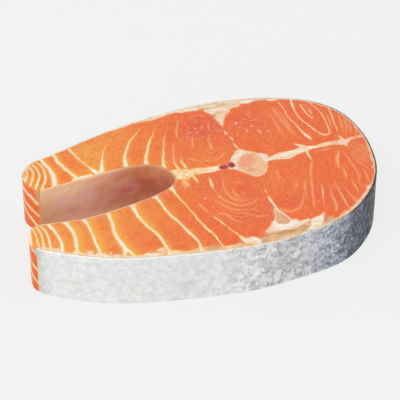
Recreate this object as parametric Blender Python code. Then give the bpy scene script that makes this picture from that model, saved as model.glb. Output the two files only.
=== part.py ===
"""A raw salmon steak: a cut straight across a large fish, lying flat on one cut face.

The plan is a horseshoe. The back is at +X, the belly is open at -X, and the two belly flaps reach
back to -X on either side of the cavity. Origin: the middle of the base. Units: metres, +Z up.
"""

import math

import bmesh
import bpy
from mathutils import Vector

MM = 0.001

# Driving dimensions
THICKNESS = 27.2 * MM  # at the rims of the steak
SWELL = 0.8 * MM  # how far the muscle stands above the rims
SKIN = 0.9 * MM
LINING = 0.6 * MM
GAP = 0.3 * MM  # between pieces that touch
CLEAR_OF_FLOOR = 0.3 * MM  # under the pieces that carry no load
STEP = 3.0 * MM  # between the points of an outline
LEAST_PIECES = 4  # between two of its knots, so that tight bends stay round
GRID = 4.5 * MM  # cells of the upper cut face

# The outline, clockwise from the far flap, as knots in millimetres. Smooth curves join them.
FAR_FLAP_END = [(-72.8, 10.9), (-76.0, 14.6), (-78.5, 20.2), (-78.0, 25.6), (-73.8, 31.0)]
FAR_FLANK = [(-62.0, 34.8), (-43.0, 41.4), (-26.0, 46.0), (-6.0, 49.7), (16.0, 51.8)]
FAR_SHOULDER = [(36.0, 50.4), (53.0, 46.4), (68.2, 39.6), (79.0, 28.4)]
BACK = [(84.1, 13.2), (84.9, -2.0), (82.0, -17.4), (74.0, -30.9)]
NEAR_SHOULDER = [(60.4, -42.5), (40.9, -48.6)]
NEAR_FLANK = [(20.0, -51.6), (-2.0, -51.0), (-26.0, -48.3), (-50.0, -43.5), (-68.0, -36.2)]
NEAR_FLAP_END = [(-79.8, -29.8), (-82.7, -27.0), (-84.6, -23.6), (-83.7, -16.0), (-80.2, -12.1)]
NEAR_CAVITY_WALL = [(-70.8, -12.1), (-56.5, -12.9), (-38.3, -10.0), (-20.0, -5.2)]
CAVITY_TIP = [(-11.6, 0.0), (-10.9, 5.2), (-14.2, 11.2)]
FAR_CAVITY_WALL = [(-21.6, 15.1), (-34.0, 15.3), (-50.0, 13.2), (-62.0, 11.7)]

# The three solids that run through the steak along the fish: centre, half width and half length
# in millimetres, and the turn of the long axis from +Y in degrees
VERTEBRA = {"centre": (27.0, 2.6), "half": (5.8, 7.2), "turn": 12.0}
AORTA = {"centre": (13.8, 4.4), "half": (1.8, 1.1), "turn": 0.0}
VEIN = {"centre": (17.7, 4.9), "half": (1.3, 1.6), "turn": 0.0}
ROUND_SIDES = 40
VESSEL_SIDES = 20
VERTEBRA_RIM = 0.6 * MM

# The wall: its levels as shares of the thickness, and how far it stands in from the outline.
# The weight of the steak pushes the foot of the flanks and of the near shoulder out, and the foot
# of the back curls in.
WALL_HEIGHTS = (0.0, 0.015, 0.2, 0.45, 0.98, 1.0)
FLANK_FOOT = 0.6 * MM
SHOULDER_FOOT = 1.1 * MM
BACK_FOOT = 0.6 * MM
BACK_FROM, BACK_TO = 48.0 * MM, 76.0 * MM
FLANK_FROM, FLANK_TO = 32.0 * MM, 12.0 * MM
FLANK_INNER, FLANK_OUTER = 26.0 * MM, 34.0 * MM
SHOULDER_FROM, SHOULDER_TO = 30.0 * MM, 55.0 * MM
SHOULDER_INNER, SHOULDER_OUTER = 10.0 * MM, 32.0 * MM
FOOT_ROUNDING = 0.3 * MM
TOP_ROUNDING = 0.4 * MM

# The valleys of the upper face, where the muscle blocks meet, in millimetres
SEPTUM = [(-10.0, 4.0), (14.0, 4.2), (40.0, 4.5), (60.0, 7.0), (82.0, 8.5)]
NEAR_BLOCK_SEAM = [(27.0, -5.0), (28.0, -20.0), (30.0, -31.5), (36.0, -41.0)]
FAR_BLOCK_SEAM = [(24.0, 13.0), (22.0, 25.0), (21.5, 38.0), (20.0, 45.0)]
VALLEY_WIDTH = 4.5 * MM
RIM_WIDTH = 7.0 * MM

COLOURS = {
    "flesh": (0.86, 0.21, 0.06),
    "skin": (0.55, 0.58, 0.58),
    "belly_lining": (0.42, 0.20, 0.14),
    "vertebra": (0.82, 0.48, 0.34),
    "aorta": (0.22, 0.01, 0.01),
    "vein": (0.16, 0.01, 0.01),
}
ROUGHNESS = {"flesh": 0.35, "skin": 0.3, "belly_lining": 0.35, "vertebra": 0.45, "aorta": 0.3, "vein": 0.3}


def curve_through(knots, step):
    """Points about a step apart on the closed smooth curve through the knots."""
    points = []
    count = len(knots)
    for i in range(count):
        before, start, end, after = (Vector(knots[(i + k) % count]) for k in (-1, 0, 1, 2))
        reach = (end - start).length
        pieces = max(LEAST_PIECES, round(reach / step))
        leave = (end - before).normalized() * reach
        arrive = (after - start).normalized() * reach
        for k in range(pieces):
            t = k / pieces
            points.append(
                start * (2 * t**3 - 3 * t**2 + 1)
                + leave * (t**3 - 2 * t**2 + t)
                + end * (3 * t**2 - 2 * t**3)
                + arrive * (t**3 - t**2)
            )
    return points


def inward_normals(points):
    """The unit normals of a clockwise loop, pointing into it."""
    normals = []
    for i, point in enumerate(points):
        along = points[(i + 1) % len(points)] - points[i - 1]
        normals.append(Vector((along.y, -along.x)).normalized())
    return normals


def to_metres(knots):
    return [Vector((x * MM, y * MM)) for x, y in knots]


def ramp(low, high, value):
    """0 at low, 1 at high and straight between."""
    return min(1.0, max(0.0, (value - low) / (high - low)))


def drawn_in(point, share):
    """How far the wall stands in from a point of the outline, at a share of the thickness."""
    back = BACK_FOOT * ramp(BACK_FROM, BACK_TO, point.x)
    flank = FLANK_FOOT * ramp(FLANK_INNER, FLANK_OUTER, abs(point.y)) * ramp(FLANK_FROM, FLANK_TO, point.x)
    toward_back = ramp(SHOULDER_FROM, SHOULDER_TO, point.x)
    shoulder = SHOULDER_FOOT * ramp(SHOULDER_INNER, SHOULDER_OUTER, -point.y) * toward_back
    rounding = {0.0: FOOT_ROUNDING, 1.0: TOP_ROUNDING}.get(share, 0.0)
    return (back - flank - shoulder) * (1.0 - share) ** 2 + rounding


def wall_ring(points, normals, depths, share, foot):
    """One level of a wall: the outline moved in by each point's own depth, at its height."""
    height = foot + (THICKNESS - foot) * share
    ring = []
    for point, normal, depth in zip(points, normals, depths):
        place = point + normal * (drawn_in(point, share) + depth)
        ring.append(Vector((place.x, place.y, height)))
    return ring


def add_object(name, mesh, collection):
    body = bpy.data.objects.new(name, mesh)
    collection.objects.link(body)
    return body


def add_material(body):
    material = bpy.data.materials.new(body.name)
    material.use_nodes = True
    shader = material.node_tree.nodes["Principled BSDF"]
    shader.inputs["Base Color"].default_value = (*COLOURS[body.name], 1.0)
    shader.inputs["Roughness"].default_value = ROUGHNESS[body.name]
    shader.inputs["Metallic"].default_value = 0.0
    body.data.materials.clear()
    body.data.materials.append(material)


def shade(body):
    body.data.shade_smooth()
    body.data.set_sharp_from_angle(angle=math.radians(35))


def join_rings(mesh, rings):
    """Quads between rings of as many vertices each."""
    for lower, upper in zip(rings, rings[1:]):
        for i in range(len(lower)):
            mesh.faces.new((lower[i - 1], lower[i], upper[i], upper[i - 1]))


def make_body(name, rings, collection, strip=False):
    """A closed loft. A strip's caps are quads across it, and any other cap is one face."""
    mesh = bmesh.new()
    verts = [[mesh.verts.new(point) for point in ring] for ring in rings]
    join_rings(mesh, verts)
    for ring in (verts[0], verts[-1]):
        if strip:
            for i in range(len(ring) // 2 - 1):
                mesh.faces.new((ring[i], ring[i + 1], ring[-i - 2], ring[-i - 1]))
        else:
            mesh.faces.new(ring)
    bmesh.ops.recalc_face_normals(mesh, faces=mesh.faces)
    data = bpy.data.meshes.new(name)
    mesh.to_mesh(data)
    mesh.free()
    return add_object(name, data, collection)


def distance_to_line(place, knots):
    """The least distance from a point to a broken line through the knots."""
    least = math.inf
    for start, end in zip(knots, knots[1:]):
        along = end - start
        share = max(0.0, min(1.0, (place - start).dot(along) / along.length_squared))
        least = min(least, (place - start - along * share).length)
    return least


def swell_upper_face(body, rim):
    """Cuts the upper cut face into a grid and raises it into softly domed muscle blocks."""
    mesh = bmesh.new()
    mesh.from_mesh(body.data)
    for axis in (0, 1):
        reach = max(abs(vert.co[axis]) for vert in mesh.verts)
        cells = math.ceil(2 * reach / GRID)
        for k in range(1, cells):
            upper = [face for face in mesh.faces if face.normal.z > 0.9]
            parts = {part for face in upper for part in (face, *face.edges, *face.verts)}
            place = Vector((0, 0, 0))
            place[axis] = -reach + 2 * reach * k / cells
            direction = Vector((0, 0, 0))
            direction[axis] = 1
            bmesh.ops.bisect_plane(mesh, geom=list(parts), plane_co=place, plane_no=direction, dist=0.4 * MM)
            mesh.normal_update()
    valleys = [to_metres(line) for line in (SEPTUM, NEAR_BLOCK_SEAM, FAR_BLOCK_SEAM)]
    closed_rim = rim + rim[:1]
    for vert in mesh.verts:
        if vert.co.z < THICKNESS - 0.1 * MM:
            continue
        place = vert.co.to_2d()
        inside = min(1.0, distance_to_line(place, closed_rim) / RIM_WIDTH)
        apart = min(distance_to_line(place, line) for line in valleys)
        rise = math.sin(inside * math.pi / 2) * (1.0 - math.exp(-((apart / VALLEY_WIDTH) ** 2)))
        vert.co.z += SWELL * rise
    mesh.to_mesh(body.data)
    mesh.free()


def oval(shape, grow, sides, height):
    """The points of a turned oval, grown all round."""
    turn = math.radians(shape["turn"])
    half_width, half_length = (half * MM + grow for half in shape["half"])
    points = []
    for i in range(sides):
        angle = 2 * math.pi * i / sides
        x = half_width * math.cos(angle)
        y = half_length * math.sin(angle)
        points.append(
            Vector(
                (
                    shape["centre"][0] * MM + x * math.cos(turn) - y * math.sin(turn),
                    shape["centre"][1] * MM + x * math.sin(turn) + y * math.cos(turn),
                    height,
                )
            )
        )
    return points


def oval_body(name, shape, levels, sides, collection):
    """A closed oval prism. Each level is its height and how far it is drawn in there."""
    rings = [oval(shape, -inset, sides, height) for height, inset in levels]
    return make_body(name, rings, collection)


def through_hole(body, name, shape, sides, cutters):
    """A hole right through the steak, a gap wider than what fills it."""
    levels = ((-2 * MM, -GAP), (THICKNESS + 2 * MM, -GAP))
    cutter = oval_body(name, shape, levels, sides, cutters)
    cutter.hide_render = True
    cutter.display_type = "WIRE"
    cut = body.modifiers.new(name, "BOOLEAN")
    cut.operation = "DIFFERENCE"
    cut.solver = "EXACT"
    cut.object = cutter


def make_flesh(points, normals, skin_run, lining_run, collection):
    """The muscle, set back behind the skin and behind the lining of the cavity."""
    depths = [0.0] * len(points)
    for run, depth in ((skin_run, SKIN + GAP), (lining_run, LINING + GAP)):
        for i in range(run[0] - 1, run[1] + 2):
            depths[i % len(points)] = depth
    rings = [wall_ring(points, normals, depths, share, 0.0) for share in WALL_HEIGHTS]
    rim = [point.to_2d() for point in rings[-1]]
    flesh = make_body("flesh", rings, collection)
    swell_upper_face(flesh, rim)
    return flesh


def make_strip(name, points, normals, run, depth, collection):
    """A thin layer on a run of the wall: the skin outside or the lining inside."""
    places = [points[i % len(points)] for i in range(run[0], run[1] + 1)]
    inward = [normals[i % len(points)] for i in range(run[0], run[1] + 1)]
    loop = places + places[::-1]
    facing = inward + inward[::-1]
    depths = [0.0] * len(places) + [depth] * len(places)
    rings = [wall_ring(loop, facing, depths, share, CLEAR_OF_FLOOR) for share in WALL_HEIGHTS]
    return make_body(name, rings, collection, strip=True)


def nearest(points, knot):
    """The number of the outline point nearest to a knot in millimetres."""
    place = Vector(knot) * MM
    return min(range(len(points)), key=lambda i: (points[i] - place).length)


def main():
    for old in list(bpy.data.objects):
        bpy.data.objects.remove(old, do_unlink=True)
    steak = bpy.data.collections.new("salmon_steak")
    cutters = bpy.data.collections.new("cutters")
    bpy.context.scene.collection.children.link(steak)
    bpy.context.scene.collection.children.link(cutters)

    knots = FAR_FLAP_END + FAR_FLANK + FAR_SHOULDER + BACK + NEAR_SHOULDER + NEAR_FLANK
    knots += NEAR_FLAP_END + NEAR_CAVITY_WALL + CAVITY_TIP + FAR_CAVITY_WALL
    points = curve_through(to_metres(knots), STEP)
    normals = inward_normals(points)
    skin_run = (nearest(points, FAR_FLAP_END[-2]), nearest(points, NEAR_FLAP_END[1]))
    lining_run = (nearest(points, NEAR_FLAP_END[-1]) + 1, len(points) - 1)

    flesh = make_flesh(points, normals, skin_run, lining_run, steak)
    skin = make_strip("skin", points, normals, skin_run, SKIN, steak)
    lining = make_strip("belly_lining", points, normals, lining_run, LINING, steak)

    through_hole(flesh, "vertebra_hole", VERTEBRA, ROUND_SIDES, cutters)
    through_hole(flesh, "aorta_hole", AORTA, VESSEL_SIDES, cutters)
    through_hole(flesh, "vein_hole", VEIN, VESSEL_SIDES, cutters)
    top = THICKNESS
    rim = VERTEBRA_RIM
    bone_levels = ((0.0, 0.0), (top - rim, 0.0), (top - rim / 3, rim / 3), (top, rim))
    vertebra = oval_body("vertebra", VERTEBRA, bone_levels, ROUND_SIDES, steak)
    vessel_levels = ((CLEAR_OF_FLOOR, 0.0), (top, 0.0))
    aorta = oval_body("aorta", AORTA, vessel_levels, VESSEL_SIDES, steak)
    vein = oval_body("vein", VEIN, vessel_levels, VESSEL_SIDES, steak)

    for body in (flesh, skin, lining, vertebra, aorta, vein):
        add_material(body)
        shade(body)


main()
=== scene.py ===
"""A raw salmon steak: the finish of every surface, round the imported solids.

Plan measures are in millimetres in the row frame: +X towards the back, -X the open belly.
"""

import math

import bpy
import numpy as np
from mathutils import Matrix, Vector, geometry


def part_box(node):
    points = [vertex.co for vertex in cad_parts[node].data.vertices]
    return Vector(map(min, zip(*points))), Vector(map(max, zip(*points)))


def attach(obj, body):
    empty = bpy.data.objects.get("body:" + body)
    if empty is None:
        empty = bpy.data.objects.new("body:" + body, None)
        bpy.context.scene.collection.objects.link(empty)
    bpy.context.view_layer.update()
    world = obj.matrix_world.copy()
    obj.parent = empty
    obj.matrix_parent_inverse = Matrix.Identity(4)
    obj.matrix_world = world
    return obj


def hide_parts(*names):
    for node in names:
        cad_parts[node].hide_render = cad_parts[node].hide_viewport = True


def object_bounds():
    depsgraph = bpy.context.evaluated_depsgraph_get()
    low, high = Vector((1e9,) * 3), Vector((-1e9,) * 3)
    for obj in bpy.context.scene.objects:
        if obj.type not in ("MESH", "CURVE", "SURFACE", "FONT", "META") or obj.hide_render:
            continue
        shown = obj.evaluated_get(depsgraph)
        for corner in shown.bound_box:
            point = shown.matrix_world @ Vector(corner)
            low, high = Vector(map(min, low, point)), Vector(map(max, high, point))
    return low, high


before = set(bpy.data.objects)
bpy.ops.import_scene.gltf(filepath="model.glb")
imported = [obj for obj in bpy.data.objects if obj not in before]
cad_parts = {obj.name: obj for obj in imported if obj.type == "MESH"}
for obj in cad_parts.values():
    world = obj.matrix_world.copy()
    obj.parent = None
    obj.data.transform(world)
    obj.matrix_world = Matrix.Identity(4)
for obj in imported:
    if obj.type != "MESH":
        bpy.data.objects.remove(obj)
CAD_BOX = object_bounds()

MM = 0.001
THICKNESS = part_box("skin")[1].z / MM
HIGHEST = CAD_BOX[1].z / MM
SKIN = 0.9
LINING = 0.6
# the muscle's swell, which leaves room for the fine relief below the solid's highest point
SWELL = HIGHEST - THICKNESS - 0.15
# how far the flesh reaches into its neighbours
OVERLAP = 0.03

# how fine the meshes are: steps in millimetres, rows on the flesh's wall, columns and rows of the
# layers, and rings and sides of the bone and the clots
TOP_SPACING = 0.48
LOWER_SPACING = 0.95
RIM_SPACING = 0.85
LAYER_STEP = 0.35
WALL_ROWS = 26
SKIN_GRID = (940, 66)
LINING_GRID = (300, 46)
BONE_GRID = (24, 72)
CLOT_GRID = (8, 24)

# noise repeats after so many cells, and is read from there on
TILES = 64
NOISE_START = 1000.0
CELLS_START = 320.0

# ---------------------------------------------------------------- the plan, as in the solids
FAR_FLAP_END = [(-72.8, 10.9), (-76.0, 14.6), (-78.5, 20.2), (-78.0, 25.6), (-73.8, 31.0)]
FAR_FLANK = [(-62.0, 34.8), (-43.0, 41.4), (-26.0, 46.0), (-6.0, 49.7), (16.0, 51.8)]
FAR_SHOULDER = [(36.0, 50.4), (53.0, 46.4), (68.2, 39.6), (79.0, 28.4)]
BACK = [(84.1, 13.2), (84.9, -2.0), (82.0, -17.4), (74.0, -30.9)]
NEAR_SHOULDER = [(60.4, -42.5), (40.9, -48.6)]
NEAR_FLANK = [(20.0, -51.6), (-2.0, -51.0), (-26.0, -48.3), (-50.0, -43.5), (-68.0, -36.2)]
NEAR_FLAP_END = [(-79.8, -29.8), (-82.7, -27.0), (-84.6, -23.6), (-83.7, -16.0), (-80.2, -12.1)]
NEAR_CAVITY_WALL = [(-70.8, -12.1), (-56.5, -12.9), (-38.3, -10.0), (-20.0, -5.2)]
CAVITY_TIP = [(-11.6, 0.0), (-10.9, 5.2), (-14.2, 11.2)]
FAR_CAVITY_WALL = [(-21.6, 15.1), (-34.0, 15.3), (-50.0, 13.2), (-62.0, 11.7)]
OUTLINE = (
    FAR_FLAP_END + FAR_FLANK + FAR_SHOULDER + BACK + NEAR_SHOULDER + NEAR_FLANK
    + NEAR_FLAP_END + NEAR_CAVITY_WALL + CAVITY_TIP + FAR_CAVITY_WALL
)
VERTEBRA = {"centre": (27.0, 2.6), "half": (5.8, 7.2), "turn": 12.0}
AORTA = {"centre": (13.8, 4.4), "half": (1.8, 1.1), "turn": 0.0}
VEIN = {"centre": (17.7, 4.9), "half": (1.3, 1.6), "turn": 0.0}

FLANK_FOOT = 0.6
BACK_FOOT = 0.6
SHOULDER_FOOT = 1.1
FOOT_ROUNDING = 0.3
TOP_ROUNDING = 0.4

SEPTUM = [(-10.0, 4.0), (14.0, 4.2), (40.0, 4.5), (60.0, 7.0), (82.0, 8.5)]
NEAR_BLOCK_SEAM = [(27.0, -5.0), (28.0, -20.0), (30.0, -31.5), (36.0, -41.0)]
FAR_BLOCK_SEAM = [(24.0, 13.0), (22.0, 25.0), (21.5, 38.0), (20.0, 45.0)]
VALLEY_WIDTH = 4.5
RIM_WIDTH = 7.0

# ---------------------------------------------------------------- the marbling
# Lines of fat: x, y and full width
FAT_LINES = [
    # far flap, from its end
    [(-77.9, 25.6, 0.7), (-77.6, 22.4, 0.6), (-78.6, 20.0, 0.9)],
    [(-76.5, 29.2, 0.6), (-76.1, 25.5, 0.7), (-76.4, 22.1, 0.8), (-78.0, 18.6, 1.0)],
    [(-74.8, 30.4, 0.7), (-73.7, 25.4, 0.8), (-74.0, 21.4, 0.8), (-75.3, 17.7, 0.8),
     (-76.4, 15.0, 0.9)],
    [(-72.9, 31.6, 0.7), (-71.6, 26.0, 0.8), (-71.3, 21.3, 0.9), (-72.6, 17.0, 0.9),
     (-74.3, 12.6, 1.0)],
    [(-70.6, 32.2, 0.6), (-68.9, 26.0, 0.8), (-68.5, 20.0, 1.0), (-69.8, 15.4, 1.0),
     (-71.6, 11.4, 1.2)],
    [(-67.9, 33.4, 1.3), (-66.9, 27.2, 1.7), (-65.6, 23.1, 1.7), (-65.0, 18.0, 2.4),
     (-65.6, 11.3, 2.8)],
    [(-61.7, 35.5, 1.1), (-60.5, 27.7, 1.5), (-58.7, 22.4, 1.4), (-56.2, 17.6, 1.6),
     (-53.4, 12.7, 2.4)],
    [(-54.0, 38.0, 1.1), (-52.0, 31.0, 0.9), (-50.0, 25.5, 0.7), (-47.8, 20.5, 0.8),
     (-45.4, 17.4, 1.8),
     (-43.0, 14.0, 4.0)],
    [(-42.0, 14.2, 3.4), (-41.5, 19.0, 1.8), (-40.5, 23.0, 1.0), (-38.5, 29.0, 0.6),
     (-36.0, 33.0, 0.4),
     (-32.0, 39.0, 0.1)],
    [(-30.0, 15.2, 2.4), (-30.0, 20.0, 1.5), (-28.5, 25.0, 1.1), (-25.0, 32.0, 0.8),
     (-20.0, 38.0, 0.5),
     (-15.0, 43.5, 0.1)],
    [(-21.0, 15.0, 2.4), (-20.0, 19.0, 1.5), (-18.0, 25.0, 1.1), (-15.0, 31.0, 0.8),
     (-12.0, 36.0, 0.5),
     (-8.0, 43.0, 0.1)],
    [(-13.2, 10.6, 2.0), (-12.6, 15.0, 1.1), (-11.5, 20.0, 0.9), (-9.5, 27.0, 0.6),
     (-7.3, 33.0, 0.4),
     (-3.0, 40.0, 0.1)],
    [(-56.1, 13.8, 1.2), (-53.3, 14.2, 2.0), (-49.9, 14.5, 2.2), (-47.0, 15.0, 1.2)],
    # near flap, from its end
    [(-82.6, -13.6, 1.0), (-84.0, -19.0, 1.0), (-84.2, -24.0, 1.2)],
    [(-81.6, -12.8, 0.7), (-81.7, -19.0, 0.7), (-81.2, -26.5, 0.8)],
    [(-80.0, -12.0, 0.7), (-79.3, -20.0, 0.8), (-79.0, -29.0, 0.9)],
    [(-78.4, -11.8, 0.6), (-76.9, -17.0, 0.9), (-76.4, -24.0, 0.9), (-77.0, -30.5, 1.0)],
    [(-74.2, -12.0, 1.8), (-73.0, -18.0, 1.4), (-71.6, -25.0, 1.3), (-71.7, -33.0, 1.5)],
    [(-66.6, -12.4, 3.0), (-65.5, -18.0, 1.8), (-64.6, -24.0, 1.8), (-65.2, -30.0, 1.7),
     (-65.6, -36.5, 2.2)],
    [(-58.0, -12.9, 3.0), (-57.0, -17.0, 1.5), (-56.8, -22.0, 1.3), (-56.4, -30.0, 1.3),
     (-55.5, -41.0, 1.4)],
    [(-46.0, -11.6, 1.8), (-46.0, -20.0, 1.4), (-46.5, -26.0, 1.6), (-46.0, -32.0, 2.0),
     (-44.6, -38.0, 2.2),
     (-46.0, -44.0, 1.0)],
    [(-44.8, -37.5, 1.6), (-42.0, -42.0, 1.3), (-39.5, -46.0, 1.2)],
    [(-66.4, -33.6, 1.4), (-66.8, -37.2, 3.2)],
    [(-62.6, -35.6, 0.4), (-62.4, -38.8, 2.2)],
    [(-47.0, -42.6, 1.0), (-49.6, -43.8, 1.6), (-53.0, -42.8, 1.2)],
    [(-38.4, -44.4, 0.6), (-36.0, -46.0, 1.6), (-33.0, -46.8, 1.0)],
    [(-25.6, -44.6, 1.4), (-25.0, -48.0, 3.2)],
    [(-11.4, -46.4, 1.4), (-11.0, -50.0, 2.8)],
    [(-34.2, -9.0, 3.4), (-34.0, -13.5, 1.8), (-33.7, -18.0, 1.3), (-32.3, -23.0, 1.3),
     (-29.5, -30.0, 1.3),
     (-27.0, -37.0, 1.3), (-25.2, -47.0, 1.3)],
    [(-22.8, -5.8, 3.6), (-21.8, -9.5, 1.7), (-21.2, -14.0, 1.2), (-19.8, -20.0, 1.1),
     (-16.5, -28.0, 1.1),
     (-13.5, -36.0, 1.3), (-11.5, -42.0, 1.2), (-11.0, -48.0, 1.4)],
    [(-14.3, -2.2, 3.4), (-13.3, -6.0, 1.4), (-12.4, -10.5, 1.0), (-10.6, -17.0, 0.7),
     (-9.0, -23.0, 0.7),
     (-7.0, -30.0, 0.8), (-5.0, -36.0, 0.9), (-3.0, -41.0, 0.8), (-1.2, -48.0, 0.8)],
    [(-0.5, -26.5, 0.3), (0.8, -30.0, 0.7), (3.0, -34.0, 0.7), (4.0, -36.2, 0.4),
     (5.2, -39.0, 0.6), (8.5, -44.5, 0.7)],
    # the septum up the middle, from the cavity to the back
    [(-12.0, 7.6, 1.8), (-8.4, 6.6, 3.0), (-3.6, 5.6, 3.0), (0.0, 4.7, 3.8), (6.0, 4.3, 3.8),
     (11.5, 4.5, 2.8),
     (15.7, 4.8, 1.6)],
    [(-11.4, 2.6, 2.6), (-8.0, 2.6, 3.0), (-5.0, 2.2, 3.4), (-3.0, 3.4, 2.6), (0.0, 4.6, 2.0)],
    [(-12.0, 5.4, 2.4), (-6.0, 4.8, 2.4), (-2.0, 4.6, 2.4)],
    [(-7.0, -0.2, 0.7), (-6.4, -2.6, 0.8), (-6.0, -5.2, 0.5)],
    [(-2.2, 3.4, 0.7), (-1.4, 0.4, 1.1), (-0.8, -2.6, 0.8), (-0.6, -4.6, 0.3)],
    [(5.2, -1.0, 0.4), (5.0, -4.0, 0.8), (5.0, -7.0, 0.9), (5.4, -9.6, 0.2)],
    [(-8.4, 14.0, 0.3), (-7.8, 10.6, 0.8), (-7.2, 8.4, 1.0)],
    [(-4.4, 13.6, 0.5), (-4.0, 10.6, 1.0), (-3.6, 8.0, 1.2)],
    [(33.5, 4.5, 2.8), (37.0, 4.4, 2.4), (41.0, 4.7, 4.0), (45.0, 4.5, 5.0), (49.0, 5.6, 3.6),
     (54.0, 6.6, 3.4),
     (58.0, 7.0, 2.0), (64.0, 7.2, 2.2), (69.0, 7.3, 2.4), (73.5, 6.6, 3.6), (77.0, 8.0, 1.6),
     (82.5, 8.8, 1.6)],
    [(51.0, 10.9, 1.0), (53.5, 8.5, 1.8), (55.5, 7.0, 2.0)],
    [(55.0, 6.5, 1.6), (54.3, 3.0, 1.2), (54.6, 0.0, 0.8), (55.2, -3.0, 0.4)],
    [(73.2, 6.0, 2.2), (74.2, 3.2, 0.9)],
    [(73.2, 7.5, 2.2), (72.8, 11.0, 1.0)],
    # where the upper and lower muscle blocks meet
    [(28.2, -15.0, 0.3), (27.9, -17.6, 0.6), (27.8, -19.4, 0.1), (27.9, -21.5, 0.8),
     (28.2, -24.0, 1.1),
     (29.0, -28.5, 1.1), (29.9, -31.5, 1.2), (31.8, -35.0, 0.8), (33.8, -39.4, 0.8)],
    [(28.4, -30.0, 0.6), (27.6, -34.0, 0.5), (26.0, -38.4, 0.7)],
    [(24.0, 13.5, 0.3), (23.0, 18.0, 0.7), (22.8, 20.6, 0.2), (23.0, 23.0, 0.8), (22.0, 25.6, 0.2),
     (21.2, 27.5, 0.8), (21.0, 30.0, 0.2), (21.2, 33.0, 0.5), (21.4, 36.0, 1.3)],
    # far side of the back
    [(52.0, 42.5, 0.5), (52.8, 37.0, 0.6), (53.2, 30.0, 0.6), (55.0, 24.0, 0.6), (56.2, 19.0, 0.9),
     (58.0, 14.5, 1.1), (59.0, 12.0, 0.8)],
    [(58.4, 44.0, 1.0), (57.7, 37.0, 0.8), (57.6, 31.0, 0.7), (59.0, 26.0, 0.7), (61.2, 21.5, 0.8),
     (63.7, 16.0, 0.7), (65.6, 13.8, 0.7), (67.4, 13.2, 0.7), (69.0, 14.6, 0.6), (69.5, 20.0, 0.6),
     (69.3, 27.0, 0.6), (68.5, 31.0, 0.6), (67.0, 36.5, 0.6), (65.5, 40.0, 0.6)],
    [(61.5, 38.0, 0.6), (61.7, 34.0, 0.7), (62.5, 29.5, 0.7), (64.0, 26.8, 0.7)],
    [(74.0, 33.0, 0.6), (73.7, 28.0, 0.7), (73.1, 20.0, 0.6), (72.8, 14.0, 0.5)],
    # near side of the back
    [(53.9, -19.5, 0.3), (52.9, -24.9, 0.7), (51.8, -30.4, 0.4), (50.0, -36.0, 0.2)],
]

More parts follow.
